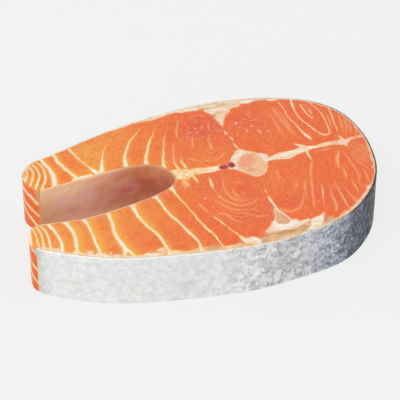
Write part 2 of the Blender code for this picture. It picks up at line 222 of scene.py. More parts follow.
# Paler streaks and rings in the muscle, which hold less fat
FAINT_LINES = [
    [(-7.8, 9.5, 1.2), (-7.5, 15.0, 0.9), (-6.6, 20.0, 0.8), (-4.9, 27.0, 0.6)],
    [(-4.4, 9.6, 1.0), (-3.9, 12.5, 0.8), (-3.6, 16.0, 0.5)],
    [(-7.8, 0.0, 1.4), (-7.6, -4.0, 0.9), (-7.3, -8.0, 0.5)],
    [(-5.4, 0.0, 1.3), (-5.6, -3.0, 0.9), (-4.8, -6.5, 0.5)],
    [(-1.4, 2.0, 1.2), (-1.3, -1.5, 0.9), (-1.5, -4.5, 0.5)],
    [(5.3, -1.5, 0.7), (4.9, -5.0, 1.2), (4.8, -8.0, 0.9), (5.4, -12.5, 0.5)],
    [(-4.5, -17.0, 0.5), (-3.2, -21.0, 0.9), (-1.5, -25.0, 0.7)],
    [(1.5, -26.8, 0.6), (5.0, -28.0, 1.0), (7.0, -30.0, 1.0), (9.0, -33.5, 0.7),
     (13.0, -37.0, 0.4)],
    [(12.9, -12.0, 0.6), (13.5, -16.0, 0.9), (15.2, -19.2, 0.7)],
    [(17.2, -15.5, 0.8), (17.6, -18.0, 1.0)],
    [(14.4, -8.0, 0.5), (16.5, -8.3, 0.7), (19.0, -10.0, 0.5)],
    [(11.2, -3.5, 0.5), (9.8, -9.0, 0.8), (10.0, -14.5, 0.7), (11.7, -18.6, 0.9),
     (14.5, -20.8, 0.7),
     (19.0, -21.8, 0.6)],
    [(5.4, -13.0, 0.6), (6.8, -17.4, 0.9), (9.5, -21.0, 0.9), (12.8, -23.6, 0.7),
     (16.5, -24.7, 0.8),
     (20.5, -23.6, 0.7), (23.5, -20.5, 0.4)],
    [(2.8, -16.0, 0.4), (5.4, -20.6, 0.7), (8.0, -24.0, 0.7), (12.0, -27.2, 0.5),
     (17.0, -28.4, 0.5),
     (21.5, -26.5, 0.4)],
    [(10.0, -26.0, 0.4), (13.0, -29.0, 0.5), (19.0, -33.0, 0.7), (25.0, -33.8, 0.6)],
    [(30.5, -30.5, 1.0), (33.0, -33.0, 1.0), (36.5, -33.8, 0.9), (40.0, -32.0, 0.7),
     (43.0, -27.5, 0.6),
     (45.0, -22.0, 0.4)],
    [(36.8, -4.5, 0.8), (36.4, -8.0, 0.8), (36.0, -12.0, 0.6)],
    [(42.8, -15.0, 0.6), (42.4, -17.5, 0.8), (40.5, -20.5, 0.5)],
    [(48.6, -14.0, 0.5), (46.5, -18.0, 0.7), (45.4, -23.0, 0.5), (44.0, -29.0, 0.5)],
    [(55.2, -2.2, 0.5), (52.8, -7.5, 0.8), (50.8, -13.0, 0.8), (49.0, -21.0, 0.7),
     (47.1, -30.1, 0.7),
     (45.0, -37.0, 0.5)],
    [(57.2, -21.0, 0.3), (56.5, -28.0, 0.7), (56.2, -35.1, 1.0), (54.8, -39.8, 1.0)],
    [(60.8, -17.0, 0.3), (60.6, -26.0, 0.6), (60.8, -33.0, 0.8), (61.5, -39.0, 1.0)],
    [(67.2, -9.9, 0.5), (67.1, -14.7, 0.9), (66.3, -19.7, 0.5)],
    [(63.8, -23.0, 0.3), (64.6, -29.5, 0.6), (65.8, -34.0, 1.2), (67.0, -35.4, 1.2)],
    [(68.6, -17.7, 0.4), (68.8, -25.7, 0.7), (68.7, -30.3, 0.5)],
    [(60.3, 3.0, 0.7), (64.0, 3.6, 0.7), (67.0, 3.2, 0.5)],
    [(77.2, 6.2, 0.3), (81.2, 0.6, 0.5), (83.4, -5.0, 0.6)],
    [(76.2, 5.2, 0.3), (80.2, -0.9, 0.4), (82.9, -8.0, 0.5)],
    [(75.6, 3.4, 0.3), (79.1, -2.1, 0.5), (82.5, -9.6, 0.6)],
    [(75.0, 2.2, 0.3), (78.2, -3.6, 0.4), (82.0, -11.4, 0.5)],
    [(74.6, 1.0, 0.3), (77.1, -4.9, 0.5), (81.4, -12.8, 0.6)],
    [(74.0, -1.0, 0.3), (76.1, -6.2, 0.4), (80.6, -15.0, 0.5)],
    [(73.2, -1.4, 0.3), (75.0, -7.6, 0.5), (79.6, -17.5, 0.6)],
    [(69.0, 0.4, 1.0), (67.5, -3.0, 1.6), (65.8, -7.5, 1.4), (65.4, -12.0, 0.6)],
    [(70.4, 1.6, 0.4), (72.0, -8.5, 0.5), (72.6, -18.0, 0.5), (71.4, -26.0, 0.4)],
    [(75.4, -14.0, 0.4), (76.4, -19.0, 0.6), (75.6, -25.0, 0.5)],
    [(77.3, 28.4, 0.5), (76.3, 19.9, 0.6), (74.5, 10.5, 0.4)],
    [(78.9, 25.6, 0.5), (78.0, 18.0, 0.6), (76.0, 10.4, 0.4)],
    [(80.4, 22.0, 0.5), (79.6, 15.6, 0.6), (77.9, 10.0, 0.4)],
    [(82.0, 17.6, 0.4), (81.6, 13.6, 0.5), (80.4, 9.8, 0.4)],
    [(49.6, 38.8, 0.5), (51.2, 28.0, 0.6), (53.1, 12.5, 0.4)],
    [(45.4, 38.3, 0.4), (46.1, 27.3, 0.6), (47.1, 14.2, 0.4)],
    [(70.8, 15.0, 0.3), (71.3, 22.0, 0.5), (71.6, 29.0, 0.4)],
    [(47.3, 40.0, 0.6), (48.3, 35.5, 1.0), (49.0, 31.0, 0.9), (50.2, 25.0, 0.7), (51.5, 20.0, 0.6),
     (53.0, 16.0, 0.5)],
    [(64.5, 28.5, 0.7), (64.2, 32.0, 0.7), (63.4, 36.0, 0.6)],
    [(36.8, 21.5, 0.7), (36.6, 24.5, 0.9), (37.4, 26.0, 0.6)],
    [(11.2, 17.5, 1.3), (11.6, 19.5, 1.3), (12.0, 22.5, 0.7), (12.0, 25.0, 0.9), (13.0, 28.0, 0.4)],
    [(5.6, 12.0, 0.5), (7.2, 10.5, 0.7), (10.0, 9.8, 0.5), (14.0, 11.0, 0.6), (17.5, 13.5, 0.7)],
    [(-2.6, 14.5, 0.5), (0.2, 13.2, 0.7), (3.5, 10.8, 0.4)],
    [(3.2, 19.0, 0.5), (4.0, 24.0, 0.7), (5.2, 30.0, 0.5)],
    [(7.6, 24.0, 0.5), (8.4, 27.5, 0.6)],
    [(17.2, 29.5, 0.5), (18.2, 32.5, 0.7)],
    [(-2.0, 28.0, 0.4), (-1.5, 33.0, 0.6), (0.5, 39.0, 0.6), (2.0, 43.0, 0.7)],
    [(14.0, 29.0, 0.4), (14.5, 33.5, 0.6), (16.0, 38.0, 0.6)],
]

# Closed outlines of the patches of white and of tan tissue
WHITE_PATCHES = [
    # round the backbone
    [(15.2, 4.6), (18.3, 8.4), (20.8, 11.4), (23.8, 14.6), (27.0, 12.0), (31.0, 9.4), (35.5, 7.0),
     (34.6, 3.0),
     (33.2, -0.6), (31.2, -4.0), (28.0, -5.7), (25.0, -4.9), (22.0, -2.2), (19.0, 0.6),
     (16.0, 2.4)],
    # wedge under the near skin
    [(20.6, -44.6), (23.0, -41.8), (25.6, -38.4), (27.8, -40.6), (31.0, -41.4), (34.4, -38.8),
     (37.2, -40.8),
     (41.5, -41.4), (38.0, -43.4), (32.0, -45.0), (26.0, -45.0)],
    [(42.8, -41.4), (46.6, -40.6), (49.2, -38.6), (47.6, -42.4), (44.6, -47.0), (39.0, -50.4),
     (39.6, -47.4),
     (41.6, -44.6)],
    [(8.2, -44.2), (10.5, -46.2), (14.5, -46.4), (16.4, -48.4), (15.4, -50.6), (11.0, -49.0),
     (8.4, -47.0)],
    # wedge under the far skin
    [(15.8, 46.4), (17.0, 44.2), (18.8, 42.6), (20.6, 44.2), (24.0, 43.6), (26.6, 41.8),
     (28.4, 43.8),
     (33.0, 45.6), (30.0, 46.6), (24.0, 47.0)],
    [(21.3, 33.6), (20.4, 37.0), (19.8, 39.6), (22.0, 40.2), (24.2, 39.8), (23.0, 37.4),
     (22.1, 35.0)],
    [(33.4, 47.2), (34.4, 49.2), (38.6, 48.6), (42.0, 47.6), (38.8, 46.2), (36.0, 46.2)],
    [(6.0, 47.9), (10.0, 47.6), (13.0, 47.4), (11.4, 50.6), (6.0, 50.2)],
]
TAN_PATCHES = [
    [(15.6, -50.6), (18.0, -47.0), (22.0, -45.2), (28.0, -45.4), (34.0, -45.0), (41.8, -41.8),
     (41.4, -44.8),
     (38.4, -47.4), (30.0, -48.4), (22.0, -49.6)],
    [(28.0, -31.0), (30.0, -32.5), (31.4, -37.0), (33.0, -40.6), (29.5, -41.4), (26.6, -38.6),
     (27.4, -35.0)],
    [(12.6, 50.6), (14.0, 47.8), (20.0, 46.9), (27.0, 47.2), (33.4, 46.6), (33.6, 49.4),
     (26.0, 50.9),
     (18.0, 51.5)],
    [(19.2, 42.8), (20.2, 40.0), (23.6, 40.0), (26.0, 41.6), (24.2, 43.6), (21.0, 44.0)],
    [(7.0, -47.6), (9.6, -47.6), (11.6, -48.6), (9.6, -49.8), (7.0, -49.4)],
    [(47.8, -43.4), (49.6, -41.2), (52.4, -42.6), (51.0, -44.4), (48.6, -45.0)],
    [(38.6, 48.4), (45.5, 47.2), (50.0, 46.8), (46.0, 48.2), (40.0, 49.6)],
    [(-9.4, -47.4), (-6.0, -47.0), (-2.4, -47.6), (-4.0, -49.4), (-8.0, -49.4)],
]

# The muscle blocks of the back, in whose cut the layers show as rings: centre, stretch along x and
# y, turn in degrees, the direction in which the rings show best, and how strongly they show
BLOCKS = [
    {"centre": (15.4, -16.2), "stretch": (0.85, 1.12),
    "turn": -12.0, "best": 225.0, "strength": 0.9},
    {"centre": (36.6, -13.0), "stretch": (0.60, 1.55),
    "turn": -8.0, "best": 150.0, "strength": 0.95},
    {"centre": (11.8, 20.8), "stretch": (0.70, 1.30),
    "turn": -14.0, "best": 270.0, "strength": 1.0},
    {"centre": (36.7, 23.4), "stretch": (0.85, 1.25), "turn": 6.0, "best": 330.0, "strength": 0.6},
]
RING_STEP = 2.2

# Zones of darker, redder muscle: x, y, half length and half width, and how strong
RED_ZONES = [(10.0, 34.0, 11.0, 9.0, 1.0), (33.0, 33.0, 9.0, 7.0, 0.6),
             (14.0, -32.0, 11.0, 7.0, 0.6),
             (29.5, -8.0, 2.5, 7.0, 0.7), (34.0, -27.0, 9.0, 5.0, 0.5),
             (60.0, -31.0, 10.0, 8.0, 0.4),
             (2.0, -8.0, 9.0, 6.0, 0.3), (20.0, -17.0, 6.0, 9.0, 0.4),
             (-40.0, -34.0, 6.0, 7.0, 0.25), (-26.0, -36.0, 5.0, 9.0, 0.3)]

# Stripes of fat on the cut ends of the flaps: depth below the upper face at the end's near edge,
# rise for each millimetre along the end, and width
FAR_END_STRIPES = [(9.2, 0.30, 2.4), (17.4, 0.40, 1.8), (25.2, 0.58, 2.0)]
NEAR_END_STRIPES = [(4.4, 0.7, 1.8), (13.6, 0.5, 2.0), (22.2, 0.75, 2.0)]

# Colour patches of the cavity's lining: x, height, half length, half height and how strong
LILAC_PATCHES = [(-62.3, 16.6, 4.5, 3.0, 0.9), (-51.5, 17.0, 5.5, 3.2, 0.9),
(-28.2, 14.7, 4.0, 4.0, 0.4),
                 (-12.5, 21.0, 1.6, 3.0, 0.4), (-38.8, 25.5, 2.0, 1.4, 0.7)]
RED_PATCHES = [(-34.3, 22.0, 4.4, 2.2, 0.35), (-30.7, 13.2, 4.2, 1.7, 1.0),
(-24.0, 17.7, 2.8, 1.6, 1.0),
               (-42.0, 19.0, 4.0, 2.5, 0.15), (-15.5, 20.0, 2.0, 3.0, 0.4)]
BROWN_PATCHES = [(-18.7, 12.5, 6.0, 5.5, 1.0), (-12.6, 16.5, 2.4, 6.0, 1.0),
(-30.0, 8.0, 12.0, 2.5, 0.4),
                 (-57.0, 10.3, 4.0, 2.6, 0.32)]

# Wet glints on the cut face, painted into its colour as highlights and raised a little: x, y and
# size
GLINTS = [(27.7, 32.3, 1.1), (31.1, 25.7, 1.1), (37.1, 23.6, 1.2), (40.6, 23.1, 1.0),
          (32.3, 34.6, 0.9), (37.0, 32.3, 0.9), (28.4, 29.7, 0.8), (34.6, 28.7, 0.9),
          (-0.6, -15.4, 1.1), (19.9, -29.1, 0.7), (14.4, -32.0, 0.6), (6.5, -29.7, 0.6),
          (28.0, 33.0, 0.8),
          (-6.0, 43.0, 1.0), (-2.4, 45.2, 0.8), (1.4, 44.4, 0.9), (31.5, 27.0, 0.8),
          (12.0, 18.0, 0.8), (9.0, 12.3, 0.8), (26.0, 24.0, 0.6), (63.5, -18.0, 0.5)]



# ---------------------------------------------------------------- plan geometry
def ease(low, high, value):
    """0 below low, 1 above high, and smooth between."""
    t = np.clip((value - low) / (high - low), 0, 1)
    return t * t * (3 - 2 * t)


def spans(knots, closed):
    """The stretches of a curve, each as four knots: its own two, with one more on either side."""
    count = len(knots)
    for i in range(count if closed else count - 1):
        numbers = np.arange(i - 1, i + 3)
        yield knots[numbers % count if closed else np.clip(numbers, 0, count - 1)]


def hermite(start, end, leave, arrive, pieces):
    """Points from start up to end, on a curve that leaves and arrives in these directions."""
    t = np.arange(pieces)[:, None] / pieces
    return (
        start * (2 * t**3 - 3 * t**2 + 1)
        + leave * (t**3 - 2 * t**2 + t)
        + end * (3 * t**2 - 2 * t**3)
        + arrive * (t**3 - t**2)
    )


def outline_points(step, least=4):
    """Points on the closed curve through the outline's knots, as the solids have it."""
    points = []
    for before, start, end, after in spans(np.asarray(OUTLINE, float), closed=True):
        reach = np.linalg.norm(end - start)
        leave = (end - before) / np.linalg.norm(end - before) * reach
        arrive = (after - start) / np.linalg.norm(after - start) * reach
        points.append(hermite(start, end, leave, arrive, max(least, round(reach / step))))
    return np.concatenate(points)


def spline(knots, pieces=5, closed=False):
    """Points on a smooth curve through the knots. A third number, the width, goes along."""
    knots = np.asarray(knots, float)
    points = [
        hermite(start, end, (end - before) / 2, (after - start) / 2, pieces)
        for before, start, end, after in spans(knots, closed)
    ]
    if not closed:
        points.append(knots[-1:])
    return np.concatenate(points)


def inward_normals(points):
    """The unit normals of a clockwise loop, pointing into it."""
    along = np.roll(points, -1, 0) - np.roll(points, 1, 0)
    normals = np.stack([along[:, 1], -along[:, 0]], 1)
    return normals / np.linalg.norm(normals, axis=1)[:, None]


def lengths_along(points):
    """How far along the line each of its points is."""
    steps = np.linalg.norm(np.diff(points, axis=0), axis=1)
    return np.concatenate([[0], np.cumsum(steps)])


def near_line(places, line, reach):
    """For the places within reach of a line: their numbers, distance, side and the width there."""
    order = np.argsort(places[:, 0], kind="stable")
    sorted_x = places[order, 0]
    best = np.full(len(places), np.inf)
    side = np.zeros(len(places))
    width = np.zeros(len(places))
    for start, end in zip(line[:-1], line[1:]):
        low = np.minimum(start[:2], end[:2]) - reach
        high = np.maximum(start[:2], end[:2]) + reach
        first, last = np.searchsorted(sorted_x, (low[0], high[0]))
        chosen = order[first:last]
        chosen = chosen[(places[chosen, 1] > low[1]) & (places[chosen, 1] < high[1])]
        along = end[:2] - start[:2]
        share = np.clip((places[chosen] - start[:2]) @ along / max(along @ along, 1e-9), 0, 1)
        off = places[chosen] - (start[:2] + share[:, None] * along)
        dist = np.hypot(off[:, 0], off[:, 1])
        closer = dist < best[chosen]
        chosen, share, off, dist = chosen[closer], share[closer], off[closer], dist[closer]
        best[chosen] = dist
        side[chosen] = np.sign(along[0] * off[:, 1] - along[1] * off[:, 0])
        if line.shape[1] > 2:
            width[chosen] = start[2] + share * (end[2] - start[2])
    found = np.nonzero(best < reach)[0]
    return found, best[found], side[found], width[found]


def distance_to(places, lines, reach):
    """The distance to the nearest of the lines, or the reach where they are further off."""
    result = np.full(len(places), reach)
    for line in lines:
        found, apart, _, _ = near_line(places, np.asarray(line, float), reach)
        result[found] = np.minimum(result[found], apart)
    return result


def inside(places, loop):
    """True for the places inside a closed loop."""
    result = np.zeros(len(places), bool)
    x, y = places[:, 0], places[:, 1]
    for (ax, ay), (bx, by) in zip(loop, np.roll(loop, -1, 0)):
        if ay != by:
            result ^= ((ay > y) != (by > y)) & (x < (bx - ax) * (y - ay) / (by - ay) + ax)
    return result


def closed_line(loop):
    """A loop as a line that comes back to its start."""
    return np.concatenate([loop, loop[:1]])


def oval(shape, grow, sides):
    """The points of a turned oval, clockwise."""
    turn = math.radians(shape["turn"])
    angle = -2 * math.pi * np.arange(sides) / sides
    x = (shape["half"][0] + grow) * np.cos(angle)
    y = (shape["half"][1] + grow) * np.sin(angle)
    cx, cy = shape["centre"]
    cosine, sine = math.cos(turn), math.sin(turn)
    return np.stack([cx + x * cosine - y * sine, cy + x * sine + y * cosine], 1)


def patch_cover(places, knots, soft):
    """1 inside a patch, 0 outside, and soft across its edge."""
    loop = spline(knots, closed=True)
    cover = inside(places, loop).astype(float)
    found, dist, _, _ = near_line(places, closed_line(loop), soft)
    cover[found] = ease(-soft, soft, np.where(cover[found] > 0.5, dist, -dist))
    return cover


def value_noise(places, scale, seed):
    """Smooth noise from 0 to 1 over the plan."""
    grid = np.random.default_rng(seed).random((TILES, TILES))
    moved = places / scale + NOISE_START
    cell = np.floor(moved).astype(int)
    part = moved - cell
    part = part * part * (3 - 2 * part)
    x0, y0 = cell[:, 0] % TILES, cell[:, 1] % TILES
    x1, y1 = (x0 + 1) % TILES, (y0 + 1) % TILES
    lower = grid[x0, y0] * (1 - part[:, 0]) + grid[x1, y0] * part[:, 0]
    upper = grid[x0, y1] * (1 - part[:, 0]) + grid[x1, y1] * part[:, 0]
    return lower * (1 - part[:, 1]) + upper * part[:, 1]


def fractal(places, scale, seed, octaves=3):
    """Noise from 0 to 1, with finer and weaker noise laid over it. Its seed picks the pattern."""
    total = 0.0
    weight = 0.0
    for k in range(octaves):
        total = total + value_noise(places, scale / 2**k, seed + k) / 2**k
        weight += 1 / 2**k
    return total / weight


# ---------------------------------------------------------------- the marbling as fields
def ring_lines(places, block):
    """The pale edges of the muscle layers round one block, from 0 to 1."""
    (cx, cy), (sx, sy) = block["centre"], block["stretch"]
    angle = math.radians(block["turn"])
    x = places[:, 0] - cx
    y = places[:, 1] - cy
    u = (x * math.cos(angle) + y * math.sin(angle)) / sx
    v = (-x * math.sin(angle) + y * math.cos(angle)) / sy
    phase = np.hypot(u, v) + 2.6 * (fractal(places, 11.0, 5, 2) - 0.5)
    share = (phase / RING_STEP) % 1.0
    line = np.exp(-(((share - 0.5) / 0.22) ** 2))
    turned = np.arctan2(y, x) - math.radians(block["best"])
    shown = 0.35 + 0.65 * np.clip(np.cos(turned), 0, 1)
    broken = 0.4 + 0.6 * ease(0.25, 0.6, fractal(places, 9.0, 41, 2))
    return line * shown * broken * block["strength"] * ease(26.0, 12.0, np.hypot(u, v))


def rings_of_blocks(places):
    """The rings of all four blocks, which meet at the septum and at the seams."""
    ring = np.zeros(len(places))
    near = places[:, 1] < 4.2
    lower = places[:, 0] < np.where(near, 28.0, 22.5)
    for block, chosen in zip(BLOCKS, (near & lower, near & ~lower, ~near & lower, ~near & ~lower)):
        ring[chosen] = ring_lines(places[chosen], block)
    return ring


def fat_and_halo(places, moved):
    """The lines of fat, and the golden halo that each has on its downhill side."""
    fat = np.zeros(len(places))
    gold = np.zeros(len(places))
    for knots in FAT_LINES:
        line = spline(knots)
        found, dist, side, width = near_line(moved, line, 5.0)
        x, y = places[found].T
        belly = ease(-10.0, -35.0, x)
        tip = ease(-64.0, -72.0, x)
        thick = 0.12 * ease(1.3, 2.6, width) * (1 - belly)
        half = width * (0.38 + 0.05 * belly + 0.02 * tip + thick)
        cover = ease(-0.55, 0.45, half - dist) * np.clip(0.2 + 0.9 * width, 0.1, 1)
        fat[found] = np.maximum(fat[found], cover)
        downhill = np.sign(line[-1, 1] - line[0, 1])
        spread = np.where(side * downhill < 0, 1.6 + 1.8 * belly * ease(8.0, 0.0, y), 0.9)
        halo = np.exp(-np.clip(dist - half, 0, None) / spread)
        halo = halo * np.clip(width / 1.3, 0.2, 1) * (1 - 0.5 * tip)
        gold[found] = np.maximum(gold[found], halo)
    return fat, gold


def faint_streaks(places, moved):
    """The paler streaks, which thin out towards both of their ends."""
    faint = np.zeros(len(places))
    for knots in FAINT_LINES:
        line = spline(knots)
        from_end = np.minimum(np.arange(len(line)), np.arange(len(line))[::-1])
        line[:, 2] *= np.clip(0.15 + from_end / 4, 0, 1)
        found, dist, _, width = near_line(moved, line, 2.5)
        cover = np.exp(-((dist / (0.36 * width + 0.2)) ** 2)) * np.clip(1.5 * width, 0.1, 1)
        cover = cover * (0.85 + 0.3 * ease(40.0, 60.0, places[found, 0]))
        faint[found] = np.maximum(faint[found], cover)
    return faint


def glints(places, moved, red):
    """Painted highlights: wet glints, and small specks in clusters on the far side's redder muscle.
    """
    glint = np.zeros(len(places))
    for x, y, size in GLINTS:
        off = moved - np.array([x, y])
        spot = ease(0.8 * size, 0.3 * size, np.hypot(off[:, 0], 1.4 * off[:, 1]))
        glint = np.maximum(glint, spot)
    x, y = places[:, 0], places[:, 1]
    slanted = np.stack([0.86 * x + 0.51 * y, 0.86 * y - 0.51 * x], 1)
    glint_specks = ease(0.64, 0.82, value_noise(slanted * np.array([0.55, 1.1]), 0.95, 51))
    clusters = ease(0.4, 0.55, fractal(places, 6.0, 61)) * np.clip(1.5 * red, 0, 1)
    return np.maximum(glint, 0.6 * glint_specks * (clusters * ease(10.0, 20.0, y)))


def marbling(places):
    """The fields that the flesh's material reads, at these places of the plan."""
    wander = np.stack([fractal(places, 4.0, 11), fractal(places, 4.0, 12)], 1) - 0.5
    jag = np.stack([fractal(places, 1.3, 13), fractal(places, 1.3, 14)], 1) - 0.5
    moved = places + wander * 0.9 + jag * 0.4
    loose = places + wander * 1.2 + jag * 0.6
    fat, gold = fat_and_halo(places, moved)
    streaks = 0.78 + 0.4 * ease(0.3, 0.6, fractal(places * np.array([0.45, 1.0]), 2.4, 21))
    for knots in WHITE_PATCHES:
        fat = np.maximum(fat, np.clip(patch_cover(loose, knots, 1.2) * streaks, 0, 1))
        gold = np.maximum(gold, 0.35 * patch_cover(loose, knots, 2.0))
    tan = np.zeros(len(places))
    for knots in TAN_PATCHES:
        tan = np.maximum(tan, patch_cover(loose, knots, 1.8))
    red = np.zeros(len(places))
    for x, y, length, width, strength in RED_ZONES:
        spread = np.hypot((moved[:, 0] - x) / length, (moved[:, 1] - y) / width)
        spread = spread + 0.5 * (wander[:, 0] + wander[:, 1])
        red = np.maximum(red, strength * ease(1.4, 0.3, spread))
    bone_edge = [closed_line(oval(VERTEBRA, grow=0.0, sides=48))]
    clot_edges = [closed_line(oval(shape, grow=0.0, sides=24)) for shape in (AORTA, VEIN)]
    return {
        "fat": fat,
        "gold": gold,
        "faint": faint_streaks(places, moved),
        "tan": tan,
        "ring": rings_of_blocks(places),
        "glint": glints(places, moved, red),
        "red": red,
        "bone": ease(1.6, 0.7, distance_to(moved, bone_edge, 4.0)),
        "blood": ease(1.3, 0.1, distance_to(moved, clot_edges, 4.0)),
    }


# ---------------------------------------------------------------- walls, as in the solids
def drawn_in(points, height):
    """How far the wall stands in from points of the outline at a height, as in the solid."""
    x, y = points[:, 0], points[:, 1]
    share = height / THICKNESS
    back = BACK_FOOT * np.clip((x - 48) / 28, 0, 1)
    flank = FLANK_FOOT * np.clip((np.abs(y) - 26) / 8, 0, 1) * np.clip((32 - x) / 20, 0, 1)
    shoulder = np.clip((-y - 10) / 22, 0, 1) * np.clip((x - 30) / 25, 0, 1)
    foot = FOOT_ROUNDING * np.clip(1 - height / 0.4, 0, 1) ** 2
    top = TOP_ROUNDING * np.clip(1 - (THICKNESS - height) / 0.5, 0, 1) ** 2
    return (back - flank - SHOULDER_FOOT * shoulder) * (1 - share) ** 2 + foot + top


def wall_ring(points, normals, depths, height):
    """The outline at a height, moved in by each point's own depth."""
    place = points + normals * (drawn_in(points, height) + depths)[:, None]
    return np.column_stack([place, np.full(len(place), height)])


def nearest(points, knot):
    """The number of the point nearest to a knot."""
    return int(np.argmin(np.linalg.norm(points - np.asarray(knot, float), axis=1)))


def runs(points):
    """The skin's and the lining's stretches of the outline."""
    skin = (nearest(points, FAR_FLAP_END[-2]), nearest(points, NEAR_FLAP_END[1]))
    lining = (nearest(points, NEAR_FLAP_END[-1]), len(points))
    return skin, lining


# ---------------------------------------------------------------- mesh tools
def make_piece(name, verts, faces, material, nodes, fields=None):
    """A mesh piece in metres from millimetres, with its fields as attributes."""
    mesh = bpy.data.meshes.new(name)
    verts = np.asarray(verts, np.float32) * MM
    mesh.from_pydata(verts, [], faces)
    mesh.validate()
    for key, values in (fields or {}).items():
        attribute = mesh.attributes.new(key, "FLOAT", "POINT")
        attribute.data.foreach_set("value", np.asarray(values, np.float32))
    mesh.shade_smooth()
    mesh.materials.append(material)
    piece = bpy.data.objects.new(name, mesh)
    bpy.context.scene.collection.objects.link(piece)
    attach(piece, "root")
    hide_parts(*nodes)
    return piece


def fill_region(loops, spacing):
    """Even triangles between closed loops, the first of them the outer one.

    Returns the places added inside and the triangles, numbered with the loops' points first.
    """
    # whole squares of an even grid, clear of the loops
    outer = loops[0]
    low = outer.min(0) - spacing
    high = outer.max(0) + spacing
    nx, ny = (np.ceil((high - low) / spacing)).astype(int) + 1
    gx, gy = np.meshgrid(np.arange(nx), np.arange(ny), indexing="ij")
    nodes = np.stack([low[0] + gx.ravel() * spacing, low[1] + gy.ravel() * spacing], 1)
    keep = inside(nodes, outer)
    for hole in loops[1:]:
        keep &= ~inside(nodes, hole)
    for loop in loops:
        found, _, _, _ = near_line(nodes, closed_line(loop), 0.6 * spacing)
        keep[found] = False
    keep = keep.reshape(nx, ny)
    squares = keep[:-1, :-1] & keep[1:, :-1] & keep[:-1, 1:] & keep[1:, 1:]
    used = np.zeros((nx, ny), bool)
    for dx in (0, 1):
        for dy in (0, 1):
            used[dx : nx - 1 + dx, dy : ny - 1 + dy] |= squares
    first = sum(len(loop) for loop in loops)
    number = np.full((nx, ny), -1)
    number[used] = first + np.arange(used.sum())
    added = nodes.reshape(nx, ny, 2)[used]
    i, j = np.nonzero(squares)
    quads = np.stack([number[i, j], number[i + 1, j], number[i + 1, j + 1], number[i, j + 1]], 1)
    flip = ((i + j) % 2 == 0)[:, None]
    one = np.where(flip, quads[:, [0, 1, 2]], quads[:, [0, 1, 3]])
    two = np.where(flip, quads[:, [0, 2, 3]], quads[:, [1, 2, 3]])

    # the band between the squares and the loops
    padded = np.pad(squares, 1)
    across = np.nonzero(padded[1:, 1:-1] != padded[:-1, 1:-1])
    along = np.nonzero(padded[1:-1, 1:] != padded[1:-1, :-1])
    border = np.concatenate([
        np.stack([number[i, j], number[i + di, j + dj]], 1)
        for (i, j), (di, dj) in ((across, (0, 1)), (along, (1, 0)))
    ])
    band_numbers = np.unique(border)
    local = {int(n): first + k for k, n in enumerate(band_numbers)}
    band_places = np.concatenate([*loops, added[band_numbers - first]])
    edges = []
    start = 0
    for loop in loops:
        count = len(loop)
        edges += [(start + k, start + (k + 1) % count) for k in range(count)]
        start += count
    edges += [(local[int(p)], local[int(q)]) for p, q in border]
    points = [Vector(p) for p in band_places]
    _, _, faces, sources, _, _ = geometry.delaunay_2d_cdt(points, edges, [], 0, 1e-7)
    back = [s[0] for s in sources]
    faces = np.array([[back[v] for v in face] for face in faces if len(face) == 3])
    middle = band_places[faces].mean(1)
    wanted = inside(middle, outer)
    for hole in loops[1:]:
        wanted &= ~inside(middle, hole)
    square = np.floor((middle - low) / spacing).astype(int)
    wanted &= ~squares[np.clip(square[:, 0], 0, nx - 2), np.clip(square[:, 1], 0, ny - 2)]
    band = np.concatenate([np.arange(first), band_numbers])[faces[wanted]]
    return added, np.concatenate([one, two, band])


def facing(verts, triangles, up):
    """The triangles, turned so that they all face up, or all down."""
    a, b, c = (verts[triangles[:, k]] for k in range(3))
    ab, ac = b - a, c - a
    normal = ab[:, 0] * ac[:, 1] - ab[:, 1] * ac[:, 0]
    wrong = normal < 0 if up else normal > 0
    triangles = triangles.copy()
    triangles[wrong] = triangles[wrong][:, ::-1]
    return triangles


def ring_quads(lower, upper):
    """Quads between two rings of numbers, facing out of a clockwise loop."""
    return np.stack([lower, upper, np.roll(upper, -1), np.roll(lower, -1)], 1)


# ---------------------------------------------------------------- the flesh
def upper_height(places, rim_distance):
    """The softly domed muscle blocks of the upper face, as the solid has them."""
    apart = distance_to(places, (SEPTUM, NEAR_BLOCK_SEAM, FAR_BLOCK_SEAM), 12.0)
    within = np.clip(rim_distance / RIM_WIDTH, 0, 1)
    return SWELL * np.sin(within * math.pi / 2) * (1 - np.exp(-((apart / VALLEY_WIDTH) ** 2)))


def relief(places, fields):
    """Fine relief of a cut face: the muscle stands proud between the fat, with a fibrous grain."""
    muscle = 1 - np.clip(fields["fat"] + 0.6 * fields["tan"], 0, 1)
    grain = fractal(places * np.array([1.0, 0.55]), 1.6, 71) - 0.5
    lumps = fractal(places, 5.0, 81) - 0.5
    lines = 0.07 * fields["ring"] + 0.1 * fields["faint"]
    within = 0.16 * grain + 0.24 * lumps - lines + 0.1 * fields["glint"]
    return 0.18 * (muscle - 1) + within * muscle


def flesh_shift(places, height):
    """The fat lines slope through the steak, most of all in the flaps."""
    slope = 0.15 + 0.6 * ease(-52.0, -72.0, places[:, 0])
    slope *= ease(8.0, -20.0, places[:, 0])
    moved = places.copy()
    moved[:, 0] += slope * (THICKNESS - height)
    return moved


def sloped_marbling(verts):
    """The marbling on every face. It slopes in the flaps and runs straight through the back."""
    fields = marbling(flesh_shift(verts[:, :2], verts[:, 2]))
    straight = marbling(verts[:, :2])
    middle = ease(-14.0, 6.0, verts[:, 0])
    return {key: fields[key] * (1 - middle) + straight[key] * middle for key in fields}


